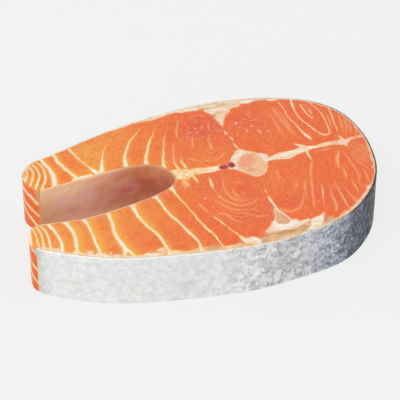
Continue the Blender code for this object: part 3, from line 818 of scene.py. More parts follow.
def skin_fat(places, skin_line):
    """The fat under the skin, from 0 to 1: ragged, and wide in some stretches of the outline."""
    x, y = places[:, 0], places[:, 1]
    width = 0.15 + 1.9 * ease(0.35, 0.75, fractal(places, 7.0, 91))
    far = ease(20.0, 30.0, y)
    width *= 1 - 0.8 * far * ease(-20.0, -45.0, x)
    width += 1.1 * far * ease(-24.0, -8.0, x) * ease(56.0, 34.0, x)
    near = ease(-20.0, -30.0, y)
    ragged = ease(0.4, 0.7, fractal(places, 3.0, 95))
    width += near * ease(-10.0, -30.0, x) * (0.6 + 2.2 * ragged)
    width += near * ease(46.0, 54.0, x) * (0.1 + 1.5 * ragged)
    width += 1.6 * ease(-22.0, -8.0, x) * ease(50.0, 36.0, x) * ease(-40.0, -46.0, y)
    back = ease(40.0, 60.0, x)
    width *= 1 - 0.45 * ease(48.0, 70.0, x) - 0.3 * ease(-10.0, 10.0, y) * back
    return ease(0.9, -0.3, (distance_to(places, [skin_line], 6.0) - width) / 0.9)


# further along than any colour of the flap ends reaches, in millimetres
BEYOND_ENDS = 9.0


def end_fields(fields, points, first, last, stripes, which, ring_count):
    """The stripes on one flap end, which is a run of the outline from its near edge."""
    count = len(points)
    chosen = np.arange(first, last)
    along = lengths_along(points[chosen])
    for k in range(ring_count):
        numbers = k * count + chosen % count
        depth = fields["depth"][numbers]
        moved = depth + 1.4 * (fractal(np.stack([along, depth], 1), 4.0, 151) - 0.5)
        cover = np.zeros(len(chosen))
        halo = np.zeros(len(chosen))
        for start, rise, width in stripes:
            off = np.abs(moved - (start - rise * along)) - width / 2
            cover = np.maximum(cover, ease(0.6, -0.5, off))
            halo = np.maximum(halo, np.exp(-np.clip(off, 0, None) / 0.9))
        upper = ease(1.5, 0.3, depth)
        for key, value in (("fat", 0.8 * cover), ("gold", 0.5 * halo)):
            fields[key][numbers] = np.maximum(fields[key][numbers] * upper, value)
        fields["end"][numbers] = ease(0.2, 1.6, depth)
        fields["far_end"][numbers] = which
        fields["along"][numbers] = along


def make_flesh(material):
    """The flesh: its wall, its two cut faces with their holes, and the fields for its look."""
    points = outline_points(RIM_SPACING)
    normals = inward_normals(points)
    skin_run, lining_run = runs(points)
    depths = np.zeros(len(points))
    depths[skin_run[0] + 1 : skin_run[1]] = SKIN - OVERLAP
    depths[lining_run[0] + 1 : lining_run[1]] = LINING - OVERLAP
    heights = np.concatenate([
        [0.0, 0.2, 0.5],
        np.linspace(1.2, THICKNESS - 1.0, WALL_ROWS),
        THICKNESS - TOP_ROUNDING * np.array([1.3, 0.6, 0.2, 0.0]),
    ])
    rings = [wall_ring(points, normals, depths, height) for height in heights]
    count = len(points)
    last = len(rings) - 1
    faces = []
    for k in range(last):
        lower = k * count + np.arange(count)
        faces += ring_quads(lower, lower + count).tolist()

    # the holes' points come four times: for the lower and upper face, then twice for the walls,
    # which have points of their own so that the edges stay sharp
    holes = [
        oval(shape, -OVERLAP, sides)
        for shape, (_, sides) in ((VERTEBRA, BONE_GRID), (AORTA, CLOT_GRID), (VEIN, CLOT_GRID))
    ]
    hole_count = sum(len(hole) for hole in holes)
    hole_points = np.column_stack([np.concatenate(holes), np.zeros(hole_count)])
    low_hole_start = count * len(rings)
    top_hole_start = low_hole_start + hole_count
    wall_start = top_hole_start + hole_count
    total = wall_start + 2 * hole_count
    start = wall_start
    for hole in holes:
        lower = start + np.arange(len(hole))
        faces += ring_quads(lower + hole_count, lower).tolist()
        start += len(hole)

    verts = rings + [hole_points] * 4
    for ring, ring_start, hole_start, spacing, up in (
        (rings[0], 0, low_hole_start, LOWER_SPACING, False),
        (rings[-1], last * count, top_hole_start, TOP_SPACING, True),
    ):
        loops = [ring[:, :2]] + holes
        added, triangles = fill_region(loops, spacing)
        numbers = np.concatenate([
            ring_start + np.arange(count),
            hole_start + np.arange(hole_count),
            total + np.arange(len(added)),
        ])
        triangles = facing(np.concatenate([*loops, added]), triangles, up)
        faces += numbers[triangles].tolist()
        verts.append(np.column_stack([added, np.zeros(len(added))]))
        total += len(added)
    # the loop ends with the upper face
    top = numbers

    verts = np.concatenate(verts)
    rim_distance = distance_to(verts[top, :2], [closed_line(rings[-1][:, :2])], RIM_WIDTH)
    verts[top, 2] = THICKNESS + upper_height(verts[top, :2], rim_distance)
    fields = sloped_marbling(verts)
    skin_line = (points + normals * SKIN)[skin_run[0] + 3 : skin_run[1] - 3]
    fields["rim"] = skin_fat(verts[:, :2], skin_line)
    fields["depth"] = THICKNESS - verts[:, 2]
    fields["end"] = np.zeros(len(verts))
    fields["far_end"] = np.zeros(len(verts))
    fields["along"] = np.full(len(verts), BEYOND_ENDS)
    for first, end, stripes, which in (
        (-2, skin_run[0] + 2, FAR_END_STRIPES, 1.0),
        (skin_run[1] - 1, lining_run[0] + 2, NEAR_END_STRIPES, -1.0),
    ):
        end_fields(fields, points, first, end, stripes, which, last)

    rise = relief(verts[:, :2], fields)[top] * ease(0.0, 1.2, rim_distance)
    verts[top, 2] = np.minimum(verts[top, 2] + rise, HIGHEST - 0.02)
    hole_numbers = np.arange(hole_count)
    verts[wall_start + hole_count + hole_numbers, 2] = verts[top_hole_start + hole_numbers, 2]
    return make_piece("steak_flesh", verts, faces, material, ["flesh"], fields)


# ---------------------------------------------------------------- thin layers on the wall
def grid_quads(start, rows, columns):
    """Quads on a grid of numbers."""
    n = start + np.arange(rows * columns).reshape(rows, columns)
    return np.stack([n[:-1, :-1], n[1:, :-1], n[1:, 1:], n[:-1, 1:]], 2).reshape(-1, 4)


def strip(name, run, depth, grid, material, node, raise_by):
    """A layer on a run of the outline: its outer face is fine, and its inner face plain."""
    columns, rows = grid
    points = outline_points(LAYER_STEP)
    numbers = np.arange(run[0], run[1] + 1) % len(points)
    chosen = points[numbers]
    inward = inward_normals(points)[numbers]
    steps = lengths_along(chosen)
    along = np.linspace(0, steps[-1], columns)
    place = np.stack([np.interp(along, steps, chosen[:, k]) for k in (0, 1)], 1)
    normal = np.stack([np.interp(along, steps, inward[:, k]) for k in (0, 1)], 1)
    normal /= np.linalg.norm(normal, axis=1)[:, None]
    s = np.repeat(along[None, :], rows, 0)
    z = np.repeat(np.linspace(0.02, THICKNESS, rows)[:, None], columns, 1)
    x, y = (np.repeat(place[None, :, k], rows, 0) for k in (0, 1))
    inset = drawn_in(np.column_stack([x.ravel(), y.ravel()]), z.ravel()).reshape(rows, columns)
    bump, fields = raise_by(s.ravel(), z.ravel(), x.ravel(), y.ravel(), along[-1])

    def face(moved_in, picked):
        out = [x + normal[None, :, 0] * moved_in, y + normal[None, :, 1] * moved_in, z]
        return np.stack([values[picked] for values in out], 2).reshape(-1, 3)

    outer = face(inset - bump.reshape(rows, columns), np.arange(rows))
    picked = np.array([0, rows // 5, rows // 2, rows - 1])
    inner = face(inset + depth, picked)
    base = len(outer)
    low_out = np.arange(columns)
    top_out = low_out + (rows - 1) * columns
    low_in = low_out + base
    top_in = low_in + (len(picked) - 1) * columns
    faces = np.concatenate([
        grid_quads(0, rows, columns),
        grid_quads(base, len(picked), columns)[:, ::-1],
        np.stack([top_out[:-1], top_in[:-1], top_in[1:], top_out[1:]], 1),
        np.stack([low_out[:-1], low_out[1:], low_in[1:], low_in[:-1]], 1),
    ]).tolist()
    verts = np.concatenate([outer, inner])
    for key, values in fields.items():
        inner_values = values.reshape(rows, columns)[picked].ravel()
        fields[key] = np.concatenate([values, inner_values])
    fields["inner"] = np.repeat([0.0, 1.0], [len(outer), len(inner)])
    # the two ends have points of their own, so that the corner stays sharp
    for column, turn in ((0, False), (columns - 1, True)):
        outer_edge = np.arange(rows) * columns + column
        inner_edge = base + np.arange(len(picked)) * columns + column
        border = np.concatenate([outer_edge, inner_edge[::-1]])
        cap = (len(verts) + np.arange(len(border))).tolist()
        faces.append(cap[::-1] if turn else cap)
        verts = np.concatenate([verts, verts[border]])
        fields = {key: np.concatenate([v, v[border]]) for key, v in fields.items()}
    return make_piece(name, verts, faces, material, [node], fields)


def calm_border(s, z, length, width):
    """1 on a layer's face, and 0 along its border, so that the relief dies away there."""
    upright = ease(0.0, width, THICKNESS - z) * ease(0.0, width, z)
    return upright * ease(0.0, 2.0, s) * ease(0.0, 2.0, length - s)


def scale_layer(places, size, seed):
    """The height of a layer of small irregular scales, each a dome that tilts its own way."""
    generator = np.random.default_rng(seed)
    jitter = (generator.random((TILES, TILES, 2)) - 0.5) * 0.85
    numbers = generator.random((TILES, TILES))
    scaled = places / size + CELLS_START
    base = np.floor(scaled).astype(int)
    nearby = np.full(len(places), np.inf)
    number = np.zeros(len(places))
    away = np.zeros((len(places), 2))
    for dx in (-1, 0, 1):
        for dy in (-1, 0, 1):
            cell = base + (dx, dy)
            column, row = cell[:, 0] % TILES, cell[:, 1] % TILES
            off = scaled - (cell + 0.5 + jitter[column, row])
            dist = np.hypot(off[:, 0], off[:, 1])
            closer = dist < nearby
            nearby = np.where(closer, dist, nearby)
            number = np.where(closer, numbers[column, row], number)
            away = np.where(closer[:, None], off, away)
    angle = 2 * math.pi * ((number * 7.0) % 1.0)
    tilt = away[:, 0] * np.cos(angle) + away[:, 1] * np.sin(angle)
    return 1 - 1.1 * nearby**2 + 0.9 * tilt


def scale_relief(s, z, x, _, length):
    """The skin: smooth silver on the belly, scaly on the flank, and finely grained on the back."""
    places = np.stack([s, z], 1)
    wander = np.stack([fractal(places, 2.6, 101, 4), fractal(places, 2.6, 102, 4)], 1) - 0.5
    moved = places + 2.4 * wander
    large = scale_layer(moved * np.array([0.8, 1.0]), 2.9, 103)
    small = scale_layer(moved * np.array([1.15, 0.85]), 1.5, 104)
    fine = ease(32.0, 48.0, x + 14 * (fractal(places, 6.0, 105) - 0.5))
    height = large * (1 - fine) + small * fine
    scaly = 0.12 + 0.88 * ease(-40.0, 20.0, x + 30 * (fractal(places, 12.0, 106) - 0.5))
    lumps = fractal(places, 9.0, 111) - 0.5
    bump = scaly * (0.14 - 0.06 * fine) * (height - 1.2) + 0.25 * (lumps - 0.4)
    fields = {"top": ease(0.7, 0.2, THICKNESS - z)}
    return np.minimum(bump, -0.02) * calm_border(s, z, length, 0.8), fields


def lining_relief(s, z, x, y, length):
    """Soft folds of the membrane on the cavity wall."""
    places = np.stack([s + 0.6 * z, z], 1)
    folds = fractal(places * np.array([0.35, 1.0]), 5.0, 121)
    blots = fractal(places * np.array([0.6, 1.0]), 9.0, 124)
    loose = 0.5 * (fractal(places, 4.5, 127, 3) - 0.5) + 0.5 * (folds - 0.5)
    slanted = np.stack([s + 0.9 * z, 0.3 * (z - 0.9 * s)], 1)
    fields = {
        "deep": ease(-84.0, -11.0, x), "fold": folds, "blot": blots, "high": z / THICKNESS,
        "streak": fractal(slanted, 3.4, 131, 3),
    }
    for key, patches in (("lilac", LILAC_PATCHES), ("red", RED_PATCHES), ("brown", BROWN_PATCHES)):
        fields[key] = np.zeros(len(x))
        for middle, height, half_length, half_height, strength in patches:
            spread = np.hypot((x - middle) / half_length, (z - height) / half_height) + 1.6 * loose
            # on the far wall only, as the near one doesn't show in the photo
            cover = strength * ease(1.5, 0.2, spread) * (y > 3)
            fields[key] = np.maximum(fields[key], cover)
    return (0.5 * (folds - 0.5) - 0.28) * calm_border(s, z, length, 1.5), fields


# ---------------------------------------------------------------- bone and vessels
def plug(name, shape, grid, material, node, upper_face):
    """An oval piece right through the steak. upper_face gives the heights of its upper face from
    the share of the radius and the places."""
    rings, sides = grid
    centre = np.asarray(shape["centre"])
    edge = oval(shape, 0.0, sides)
    heights = [0.0, THICKNESS * 0.5, THICKNESS - 0.6]
    verts = [np.column_stack([edge, np.full(sides, height)]) for height in heights]
    shares = [1.0, 0.985] + [1 - k / rings for k in range(1, rings)]
    for share in shares:
        place = centre + (edge - centre) * share
        verts.append(np.column_stack([place, upper_face(np.full(sides, share), place)]))
    middle = centre[None, :]
    verts.append(np.column_stack([middle, upper_face(np.zeros(1), middle)]))
    radius = np.concatenate([np.repeat([1.0] * len(heights) + shares, sides), [0.0]])
    faces = []
    last = len(heights) + len(shares) - 1
    for k in range(last):
        lower = k * sides + np.arange(sides)
        faces += ring_quads(lower, lower + sides).tolist()
    rim = last * sides + np.arange(sides)
    tip = int(rim[-1]) + 1
    faces += [[int(a), tip, int(b)] for a, b in zip(rim, np.roll(rim, -1))]
    faces.append(np.arange(sides).tolist())
    fields = {"radius": radius}
    return make_piece(name, np.concatenate(verts), faces, material, [node], fields)


def bone_face(share, place):
    """A sawn bone: a raised rim, a shallow dish inside it, and pores."""
    rim = 0.22 * np.exp(-(((share - 0.86) / 0.07) ** 2))
    dish = -0.35 * (1 - share**2)
    pores = 0.2 * (fractal(place, 1.3, 131) - 0.5)
    edge = -0.1 * ease(0.93, 1.0, share)
    return THICKNESS + 0.1 + rim + dish + pores + edge


def clot_face(share, place):
    """A low, uneven dome."""
    return THICKNESS - 0.15 + 0.3 * (1 - share**2) + 0.15 * (fractal(place, 0.9, 141) - 0.5)


# ---------------------------------------------------------------- materials
class Nodes:
    """A short way to write a material's nodes. Noise is sized in millimetres, x and y are in
    metres, and colours that are written as numbers go from 0 to 255."""

    def __init__(self, name):
        self.material = bpy.data.materials.new(name)
        self.material.use_nodes = True
        self.tree = self.material.node_tree
        self.shader = self.tree.nodes["Principled BSDF"]

    def add(self, kind, **settings):
        node = self.tree.nodes.new(kind)
        for key, value in settings.items():
            setattr(node, key, value)
        return node

    def link(self, source, target):
        if isinstance(source, (int, float)):
            target.default_value = source
        elif isinstance(source, tuple):
            target.default_value = (*source, 1.0) if len(source) == 3 else source
        else:
            self.tree.links.new(source, target)

    def field(self, name, share=None):
        """A field of the mesh, times a share if one is given."""
        value = self.add("ShaderNodeAttribute", attribute_name=name).outputs["Fac"]
        return value if share is None else self.times(value, share)

    def place(self):
        return self.add("ShaderNodeTexCoord").outputs["Object"]

    def axis(self, name):
        node = self.add("ShaderNodeSeparateXYZ")
        self.link(self.place(), node.inputs["Vector"])
        return node.outputs[name]

    def noise(self, scale, detail=3.0, rough=0.55, stretch=None, vector=None):
        """Noise with features of the given size."""
        vector = vector or self.place()
        if stretch:
            mapping = self.add("ShaderNodeMapping")
            self.link(vector, mapping.inputs["Vector"])
            mapping.inputs["Scale"].default_value = stretch
            vector = mapping.outputs["Vector"]
        node = self.add("ShaderNodeTexNoise")
        self.link(vector, node.inputs["Vector"])
        node.inputs["Scale"].default_value = 1 / MM / scale
        node.inputs["Detail"].default_value = detail
        node.inputs["Roughness"].default_value = rough
        return node.outputs["Fac"]

    def shifted(self, scale, reach):
        """The place, moved about by noise of a size, by up to a reach."""
        noise = self.add("ShaderNodeTexNoise")
        self.link(self.place(), noise.inputs["Vector"])
        noise.inputs["Scale"].default_value = 1 / MM / scale
        centred = self.add("ShaderNodeVectorMath", operation="SUBTRACT")
        self.link(noise.outputs["Color"], centred.inputs[0])
        centred.inputs[1].default_value = (0.5, 0.5, 0.5)
        total = self.add("ShaderNodeVectorMath", operation="MULTIPLY_ADD")
        self.link(centred.outputs["Vector"], total.inputs[0])
        total.inputs[1].default_value = [reach * MM * 2] * 3
        self.link(self.place(), total.inputs[2])
        return total.outputs["Vector"]

    def scales(self, size, vector):
        """Irregular scales: a shade from 0 to 1 for each, and the distance to its edge."""
        shades = self.add("ShaderNodeTexVoronoi", feature="SMOOTH_F1")
        shades.inputs["Smoothness"].default_value = 0.15
        edges = self.add("ShaderNodeTexVoronoi", feature="DISTANCE_TO_EDGE")
        for node in (shades, edges):
            self.link(vector, node.inputs["Vector"])
            node.inputs["Scale"].default_value = 1 / MM / size
        split = self.add("ShaderNodeSeparateColor")
        self.link(shades.outputs["Color"], split.inputs["Color"])
        return split.outputs["Red"], edges.outputs["Distance"]

    def math(self, operation, a, b):
        node = self.add("ShaderNodeMath", operation=operation)
        self.link(a, node.inputs[0])
        self.link(b, node.inputs[1])
        return node.outputs["Value"]

    def plus(self, a, b):
        return self.math("ADD", a, b)

    def times(self, product, *others):
        for other in others:
            product = self.math("MULTIPLY", product, other)
        return product

    def swing(self, noise, reach):
        """Noise that swings about 0, over a reach."""
        return self.times(self.math("SUBTRACT", noise, 0.5), reach)

    def between(self, value, low, high, out_low=0.0, out_high=1.0, kind="SMOOTHSTEP"):
        node = self.add("ShaderNodeMapRange", interpolation_type=kind)
        self.link(value, node.inputs["Value"])
        for key, number in zip(("From Min", "From Max", "To Min", "To Max"),
                               (low, high, out_low, out_high)):
            node.inputs[key].default_value = number
        return node.outputs["Result"]

    def all_between(self, *rows):
        """The product of what between gives for each row."""
        return self.times(*(self.between(*row) for row in rows))

    def lerp(self, share, a, b):
        node = self.add("ShaderNodeMix", data_type="FLOAT")
        for key, value in (("Factor", share), ("A", a), ("B", b)):
            self.link(value, node.inputs[key])
        return node.outputs["Result"]

    def mix(self, share, a, b):
        """From colour a to colour b by a share."""
        node = self.add("ShaderNodeMix", data_type="RGBA")
        self.link(share, node.inputs["Factor"])
        for key, colour in (("A", a), ("B", b)):
            self.link(srgb(*colour) if isinstance(colour, tuple) else colour, node.inputs[key])
        return node.outputs["Result"]

    def fade(self, value, low, high, a, b, share=1.0):
        """From colour a to colour b as a value goes from low to high, and by a share at most."""
        return self.mix(self.between(value, low, high, 0.0, share), a, b)

    def layers(self, colour, *rows):
        """Colours laid over one another: each row is a value, where it starts and ends, the share
        that its colour then has, and the colour."""
        for value, low, high, share, shade in rows:
            colour = self.fade(value, low, high, colour, shade, share)
        return colour

    def ramp(self, value, stops):
        """A colour by stops, each a position from 0 to 1 and a colour."""
        node = self.add("ShaderNodeValToRGB")
        self.link(value, node.inputs["Fac"])
        elements = node.color_ramp.elements
        while len(elements) < len(stops):
            elements.new(0.5)
        for element, (position, shade) in zip(elements, stops):
            element.position = position
            element.color = (*srgb(*shade), 1.0)
        return node.outputs["Color"]

    def scaled(self, colour, factor):
        node = self.add("ShaderNodeVectorMath", operation="SCALE")
        self.link(colour, node.inputs[0])
        self.link(factor, node.inputs["Scale"])
        return node.outputs["Vector"]

    def bump(self, height, distance, strength):
        node = self.add("ShaderNodeBump")
        self.link(height, node.inputs["Height"])
        node.inputs["Distance"].default_value = distance * MM
        node.inputs["Strength"].default_value = strength
        self.link(node.outputs["Normal"], self.shader.inputs["Normal"])

    def set(self, **values):
        for key, value in values.items():
            self.link(value, self.shader.inputs[key.replace("_", " ")])


def srgb(red, green, blue):
    """A colour from 0 to 255 as the linear values that nodes take."""
    out = []
    for c in (red, green, blue):
        c /= 255
        out.append(c / 12.92 if c <= 0.04045 else ((c + 0.055) / 1.055) ** 2.4)
    return tuple(out)


def muscle_colour(n, x, y, fine, blotch, fibre):
    """Orange at the back and yellower towards the belly, with red zones, rings and gold halos."""
    wander = n.plus(x, n.swing(n.noise(22.0), 0.045))
    far_belly = n.layers(
        (243, 136, 56),
        (x, -0.056, -0.046, 1.0, (246, 174, 74)),
        (x, -0.069, -0.075, 1.0, (243, 160, 56)),
    )
    lean = n.plus(wander, n.between(y, 0.0, -0.02, 0.0, 0.009))
    colour = n.layers(
        n.fade(y, -0.01, 0.02, (244, 152, 66), far_belly),
        (wander, -0.06, -0.01, 1.0, (242, 130, 58)),
        (lean, -0.024, 0.012, 1.0, (239, 108, 52)),
        (blotch, 0.42, 0.72, 0.45, (236, 98, 46)),
        (blotch, 0.46, 0.28, 0.5, (244, 134, 62)),
    )
    red = n.times(n.field("red"), n.between(fibre, 0.3, 0.65, 0.55, 1.0))
    colour = n.layers(
        n.mix(red, colour, (222, 84, 62)),
        (fibre, 0.5, 0.74, 0.55, (246, 144, 86)),
        (fine, 0.5, 0.3, 0.45, (226, 84, 44)),
    )
    mottle = n.noise(2.0, 4.0, 0.65)
    mottle_share = n.between(x, -0.02, 0.01, 0.5, 0.3)
    for low, high, shade in ((0.52, 0.66, (246, 148, 74)), (0.48, 0.34, (232, 104, 44))):
        colour = n.mix(n.times(n.between(mottle, low, high), mottle_share), colour, shade)
    colour = n.mix(n.field("end", 0.85), colour, (240, 98, 24))
    colour = n.mix(n.field("ring", 0.75), colour, (246, 150, 78))
    gold = n.times(n.field("gold"), n.between(wander, -0.045, 0.01, 1.0, 0.38))
    gold_colour = n.fade(wander, -0.02, 0.03, (246, 174, 68), (245, 158, 86))
    colour = n.fade(gold, 0.06, 0.9, colour, gold_colour, 0.9)
    faint = n.times(n.field("faint"), n.between(blotch, 0.3, 0.6, 0.6, 1.0))
    faint = n.times(faint, n.between(x, 0.0, 0.012, 0.95, 0.72))
    return n.mix(faint, colour, (248, 188, 130))


def rim_and_tan(n, colour, x, y, streak):
    """The fat under the skin, and the tan tissue in the wedges."""
    near_rim = n.fade(streak, 0.4, 0.65, (246, 222, 178), (243, 178, 104))
    pale_rim = n.fade(streak, 0.4, 0.65, (250, 240, 222), (245, 210, 160))
    back_rim = n.fade(streak, 0.4, 0.65, (250, 230, 202), (246, 188, 142))
    rim_colour = n.layers(
        near_rim,
        (y, 0.02, 0.03, 1.0, pale_rim),
        (x, -0.02, -0.04, 1.0, pale_rim),
        (x, 0.044, 0.052, 1.0, back_rim),
    )
    colour = n.mix(n.field("rim", 0.9), colour, rim_colour)
    near_tan = n.fade(streak, 0.38, 0.64, (200, 148, 100), (232, 194, 152))
    warm_tan = n.fade(streak, 0.38, 0.64, (222, 170, 126), (242, 202, 160))
    far_tan = n.fade(streak, 0.38, 0.64, (222, 186, 146), (246, 228, 202))
    tan_colour = n.layers(
        near_tan, (y, -0.043, -0.04, 1.0, warm_tan), (y, 0.03, 0.042, 1.0, far_tan)
    )
    return n.mix(n.field("tan"), colour, tan_colour)


def fat_colours(n, x, y, blotch, streak):
    """The colours of the fat lines' edges and cores, which differ by place."""
    edge = n.fade(x, -0.01, 0.03, (247, 194, 112), (246, 182, 130))
    edge = n.mix(n.field("end"), edge, (246, 164, 104))
    core = n.fade(blotch, 0.42, 0.66, (250, 238, 218), (248, 222, 182))
    core = n.fade(n.noise(2.4, 2.0), 0.52, 0.72, core, (248, 222, 210), 0.8)
    clump = n.noise(2.0, 3.0, 0.6)
    septum = n.all_between((y, -0.002, 0.001), (y, 0.011, 0.008), (x, 0.012, 0.0))
    core = n.mix(septum, core, n.fade(clump, 0.42, 0.58, (247, 192, 118), (250, 230, 188)))
    wedge = n.plus(n.between(y, -0.034, -0.038), n.between(y, 0.036, 0.04))
    wedge = n.times(wedge, n.between(x, 0.008, 0.014))
    beside_bone = n.all_between((x, 0.015, 0.019), (x, 0.04, 0.034))
    wedge = n.math("MAXIMUM", wedge, n.times(beside_bone, 0.8))
    core = n.mix(wedge, core, n.fade(streak, 0.4, 0.62, (250, 238, 226), (240, 206, 168)))
    edge = n.mix(wedge, edge, (243, 206, 168))
    back_septum = n.all_between((y, 0.0, 0.002), (y, 0.013, 0.010), (x, 0.032, 0.036))
    strand = n.noise(1.3, stretch=(0.3, 1.0, 1.0))
    strand_colour = n.fade(strand, 0.38, 0.58, (252, 238, 220), (248, 210, 172))
    end_strand = n.fade(clump, 0.46, 0.6, (249, 210, 182), (243, 152, 104))
    strand_colour = n.fade(x, 0.064, 0.072, strand_colour, end_strand)
    return edge, n.mix(back_septum, core, strand_colour)


def wrapped_ends(n, colour, fine):
    """On the cut ends of the flaps, the membrane and the skin reach round the corners."""
    depth, along, far_end = n.field("depth"), n.field("along"), n.field("far_end")
    membrane = n.math("SUBTRACT", n.between(depth, 0.5, 8.0, 5.0, 2.6, "LINEAR"), along)
    membrane = n.all_between((membrane, -0.6, 0.5), (far_end, 0.0, 1.0), (depth, 0.4, 1.2))
    membrane_colour = n.fade(fine, 0.3, 0.7, (222, 172, 122), (206, 150, 108))
    colour = n.mix(membrane, colour, membrane_colour)
    silver = n.math("SUBTRACT", n.between(depth, 0.5, 12.0, 2.3, 0.0, "LINEAR"), along)
    silver = n.plus(silver, n.swing(fine, 2.0))
    silver = n.all_between((silver, -0.2, 0.4), (far_end, 0.0, -1.0), (depth, 0.2, 0.8))
    return n.mix(silver, colour, n.fade(fine, 0.35, 0.65, (206, 206, 194), (178, 176, 160)))


def flesh_material():
    n = Nodes("raw_flesh")
    fine = n.noise(0.8, 4.0)
    blotch = n.noise(5.0)
    fibre = n.noise(1.2, stretch=(1.0, 0.3, 0.6))
    streak = n.noise(2.2, stretch=(0.35, 1.0, 1.0))
    x, y = n.axis("X"), n.axis("Y")
    colour = muscle_colour(n, x, y, fine, blotch, fibre)
    colour = rim_and_tan(n, colour, x, y, streak)
    jag = n.swing(fine, 0.4)
    fat = n.plus(n.field("fat"), jag)
    edge_colour, core_colour = fat_colours(n, x, y, blotch, streak)
    colour = n.layers(colour, (fat, 0.1, 0.5, 1.0, edge_colour), (fat, 0.4, 0.95, 1.0, core_colour))
    bone_colour = n.layers(
        (245, 200, 156),
        (n.noise(2.6), 0.42, 0.6, 1.0, (240, 170, 126)),
        (fine, 0.5, 0.7, 0.7, (250, 224, 200)),
    )
    colour = n.mix(n.field("bone", 0.9), colour, bone_colour)
    blood = n.between(n.plus(n.field("blood"), jag), 0.1, 0.9)
    colour = n.mix(n.times(blood, 0.85), colour, (206, 70, 66))
    # painted highlights: the wet glints, pinkish, with paler cores
    glint = n.field("glint")
    colour = n.mix(n.times(glint, 0.8), colour, (250, 182, 158))
    colour = n.fade(glint, 0.65, 0.95, colour, (254, 236, 226), 0.8)
    n.set(
        Base_Color=wrapped_ends(n, colour, fine),
        Roughness=n.between(fine, 0.3, 0.7, 0.3, 0.45),
        Subsurface_Weight=0.1,
        Subsurface_Scale=0.0015,
        Coat_Weight=0.1,
        Coat_Roughness=0.15,
        Specular_IOR_Level=n.between(n.field("end"), 0.0, 1.0, 0.3, 0.1),
    )
    n.shader.inputs["Subsurface Radius"].default_value = (1.0, 0.45, 0.25)
    n.bump(n.plus(fine, fibre), 0.12, 0.5)
    return n.material


# The skin's shade by x in millimetres, from the belly to the back
SKIN_REACH = 85
SKIN_SHADES = [
    (-77, (236, 238, 235)), (-37, (233, 235, 233)), (-13, (229, 230, 229)), (7, (238, 241, 242)),
    (22, (220, 222, 222)), (37, (204, 205, 208)), (51, (186, 191, 203)), (62, (116, 121, 137)),
    (73, (56, 60, 71)), (84, (34, 33, 38)),
]


def skin_top(n, colour, x, fine):
    """The cut edge of the skin on the upper face, and its inner side."""
    far_side = n.between(n.axis("Y"), 0.005, 0.02)
    top_colour = n.fade(x, -0.02, 0.01, (244, 246, 246), (244, 226, 196))
    far_share = n.times(far_side, n.between(x, 0.03, 0.045))
    top_colour = n.mix(far_share, top_colour, (230, 190, 158))
    dark_x = n.math("SUBTRACT", x, n.times(far_side, 0.012))
    top_colour = n.fade(dark_x, 0.045, 0.065, top_colour, (84, 78, 72))
    patchy = n.between(n.noise(2.5), 0.38, 0.6, 0.4, 0.95)
    top_share = n.math("MAXIMUM", patchy, n.times(far_side, 0.9))
    colour = n.mix(n.times(n.field("top"), top_share), colour, top_colour)
    inner_colour = n.fade(n.noise(3.0), 0.4, 0.62, (246, 226, 190), (240, 170, 112))
    inner = n.between(n.plus(n.field("inner"), n.times(fine, 0.3)), 0.5, 0.72)
    return n.mix(n.times(inner, 0.9), colour, inner_colour)


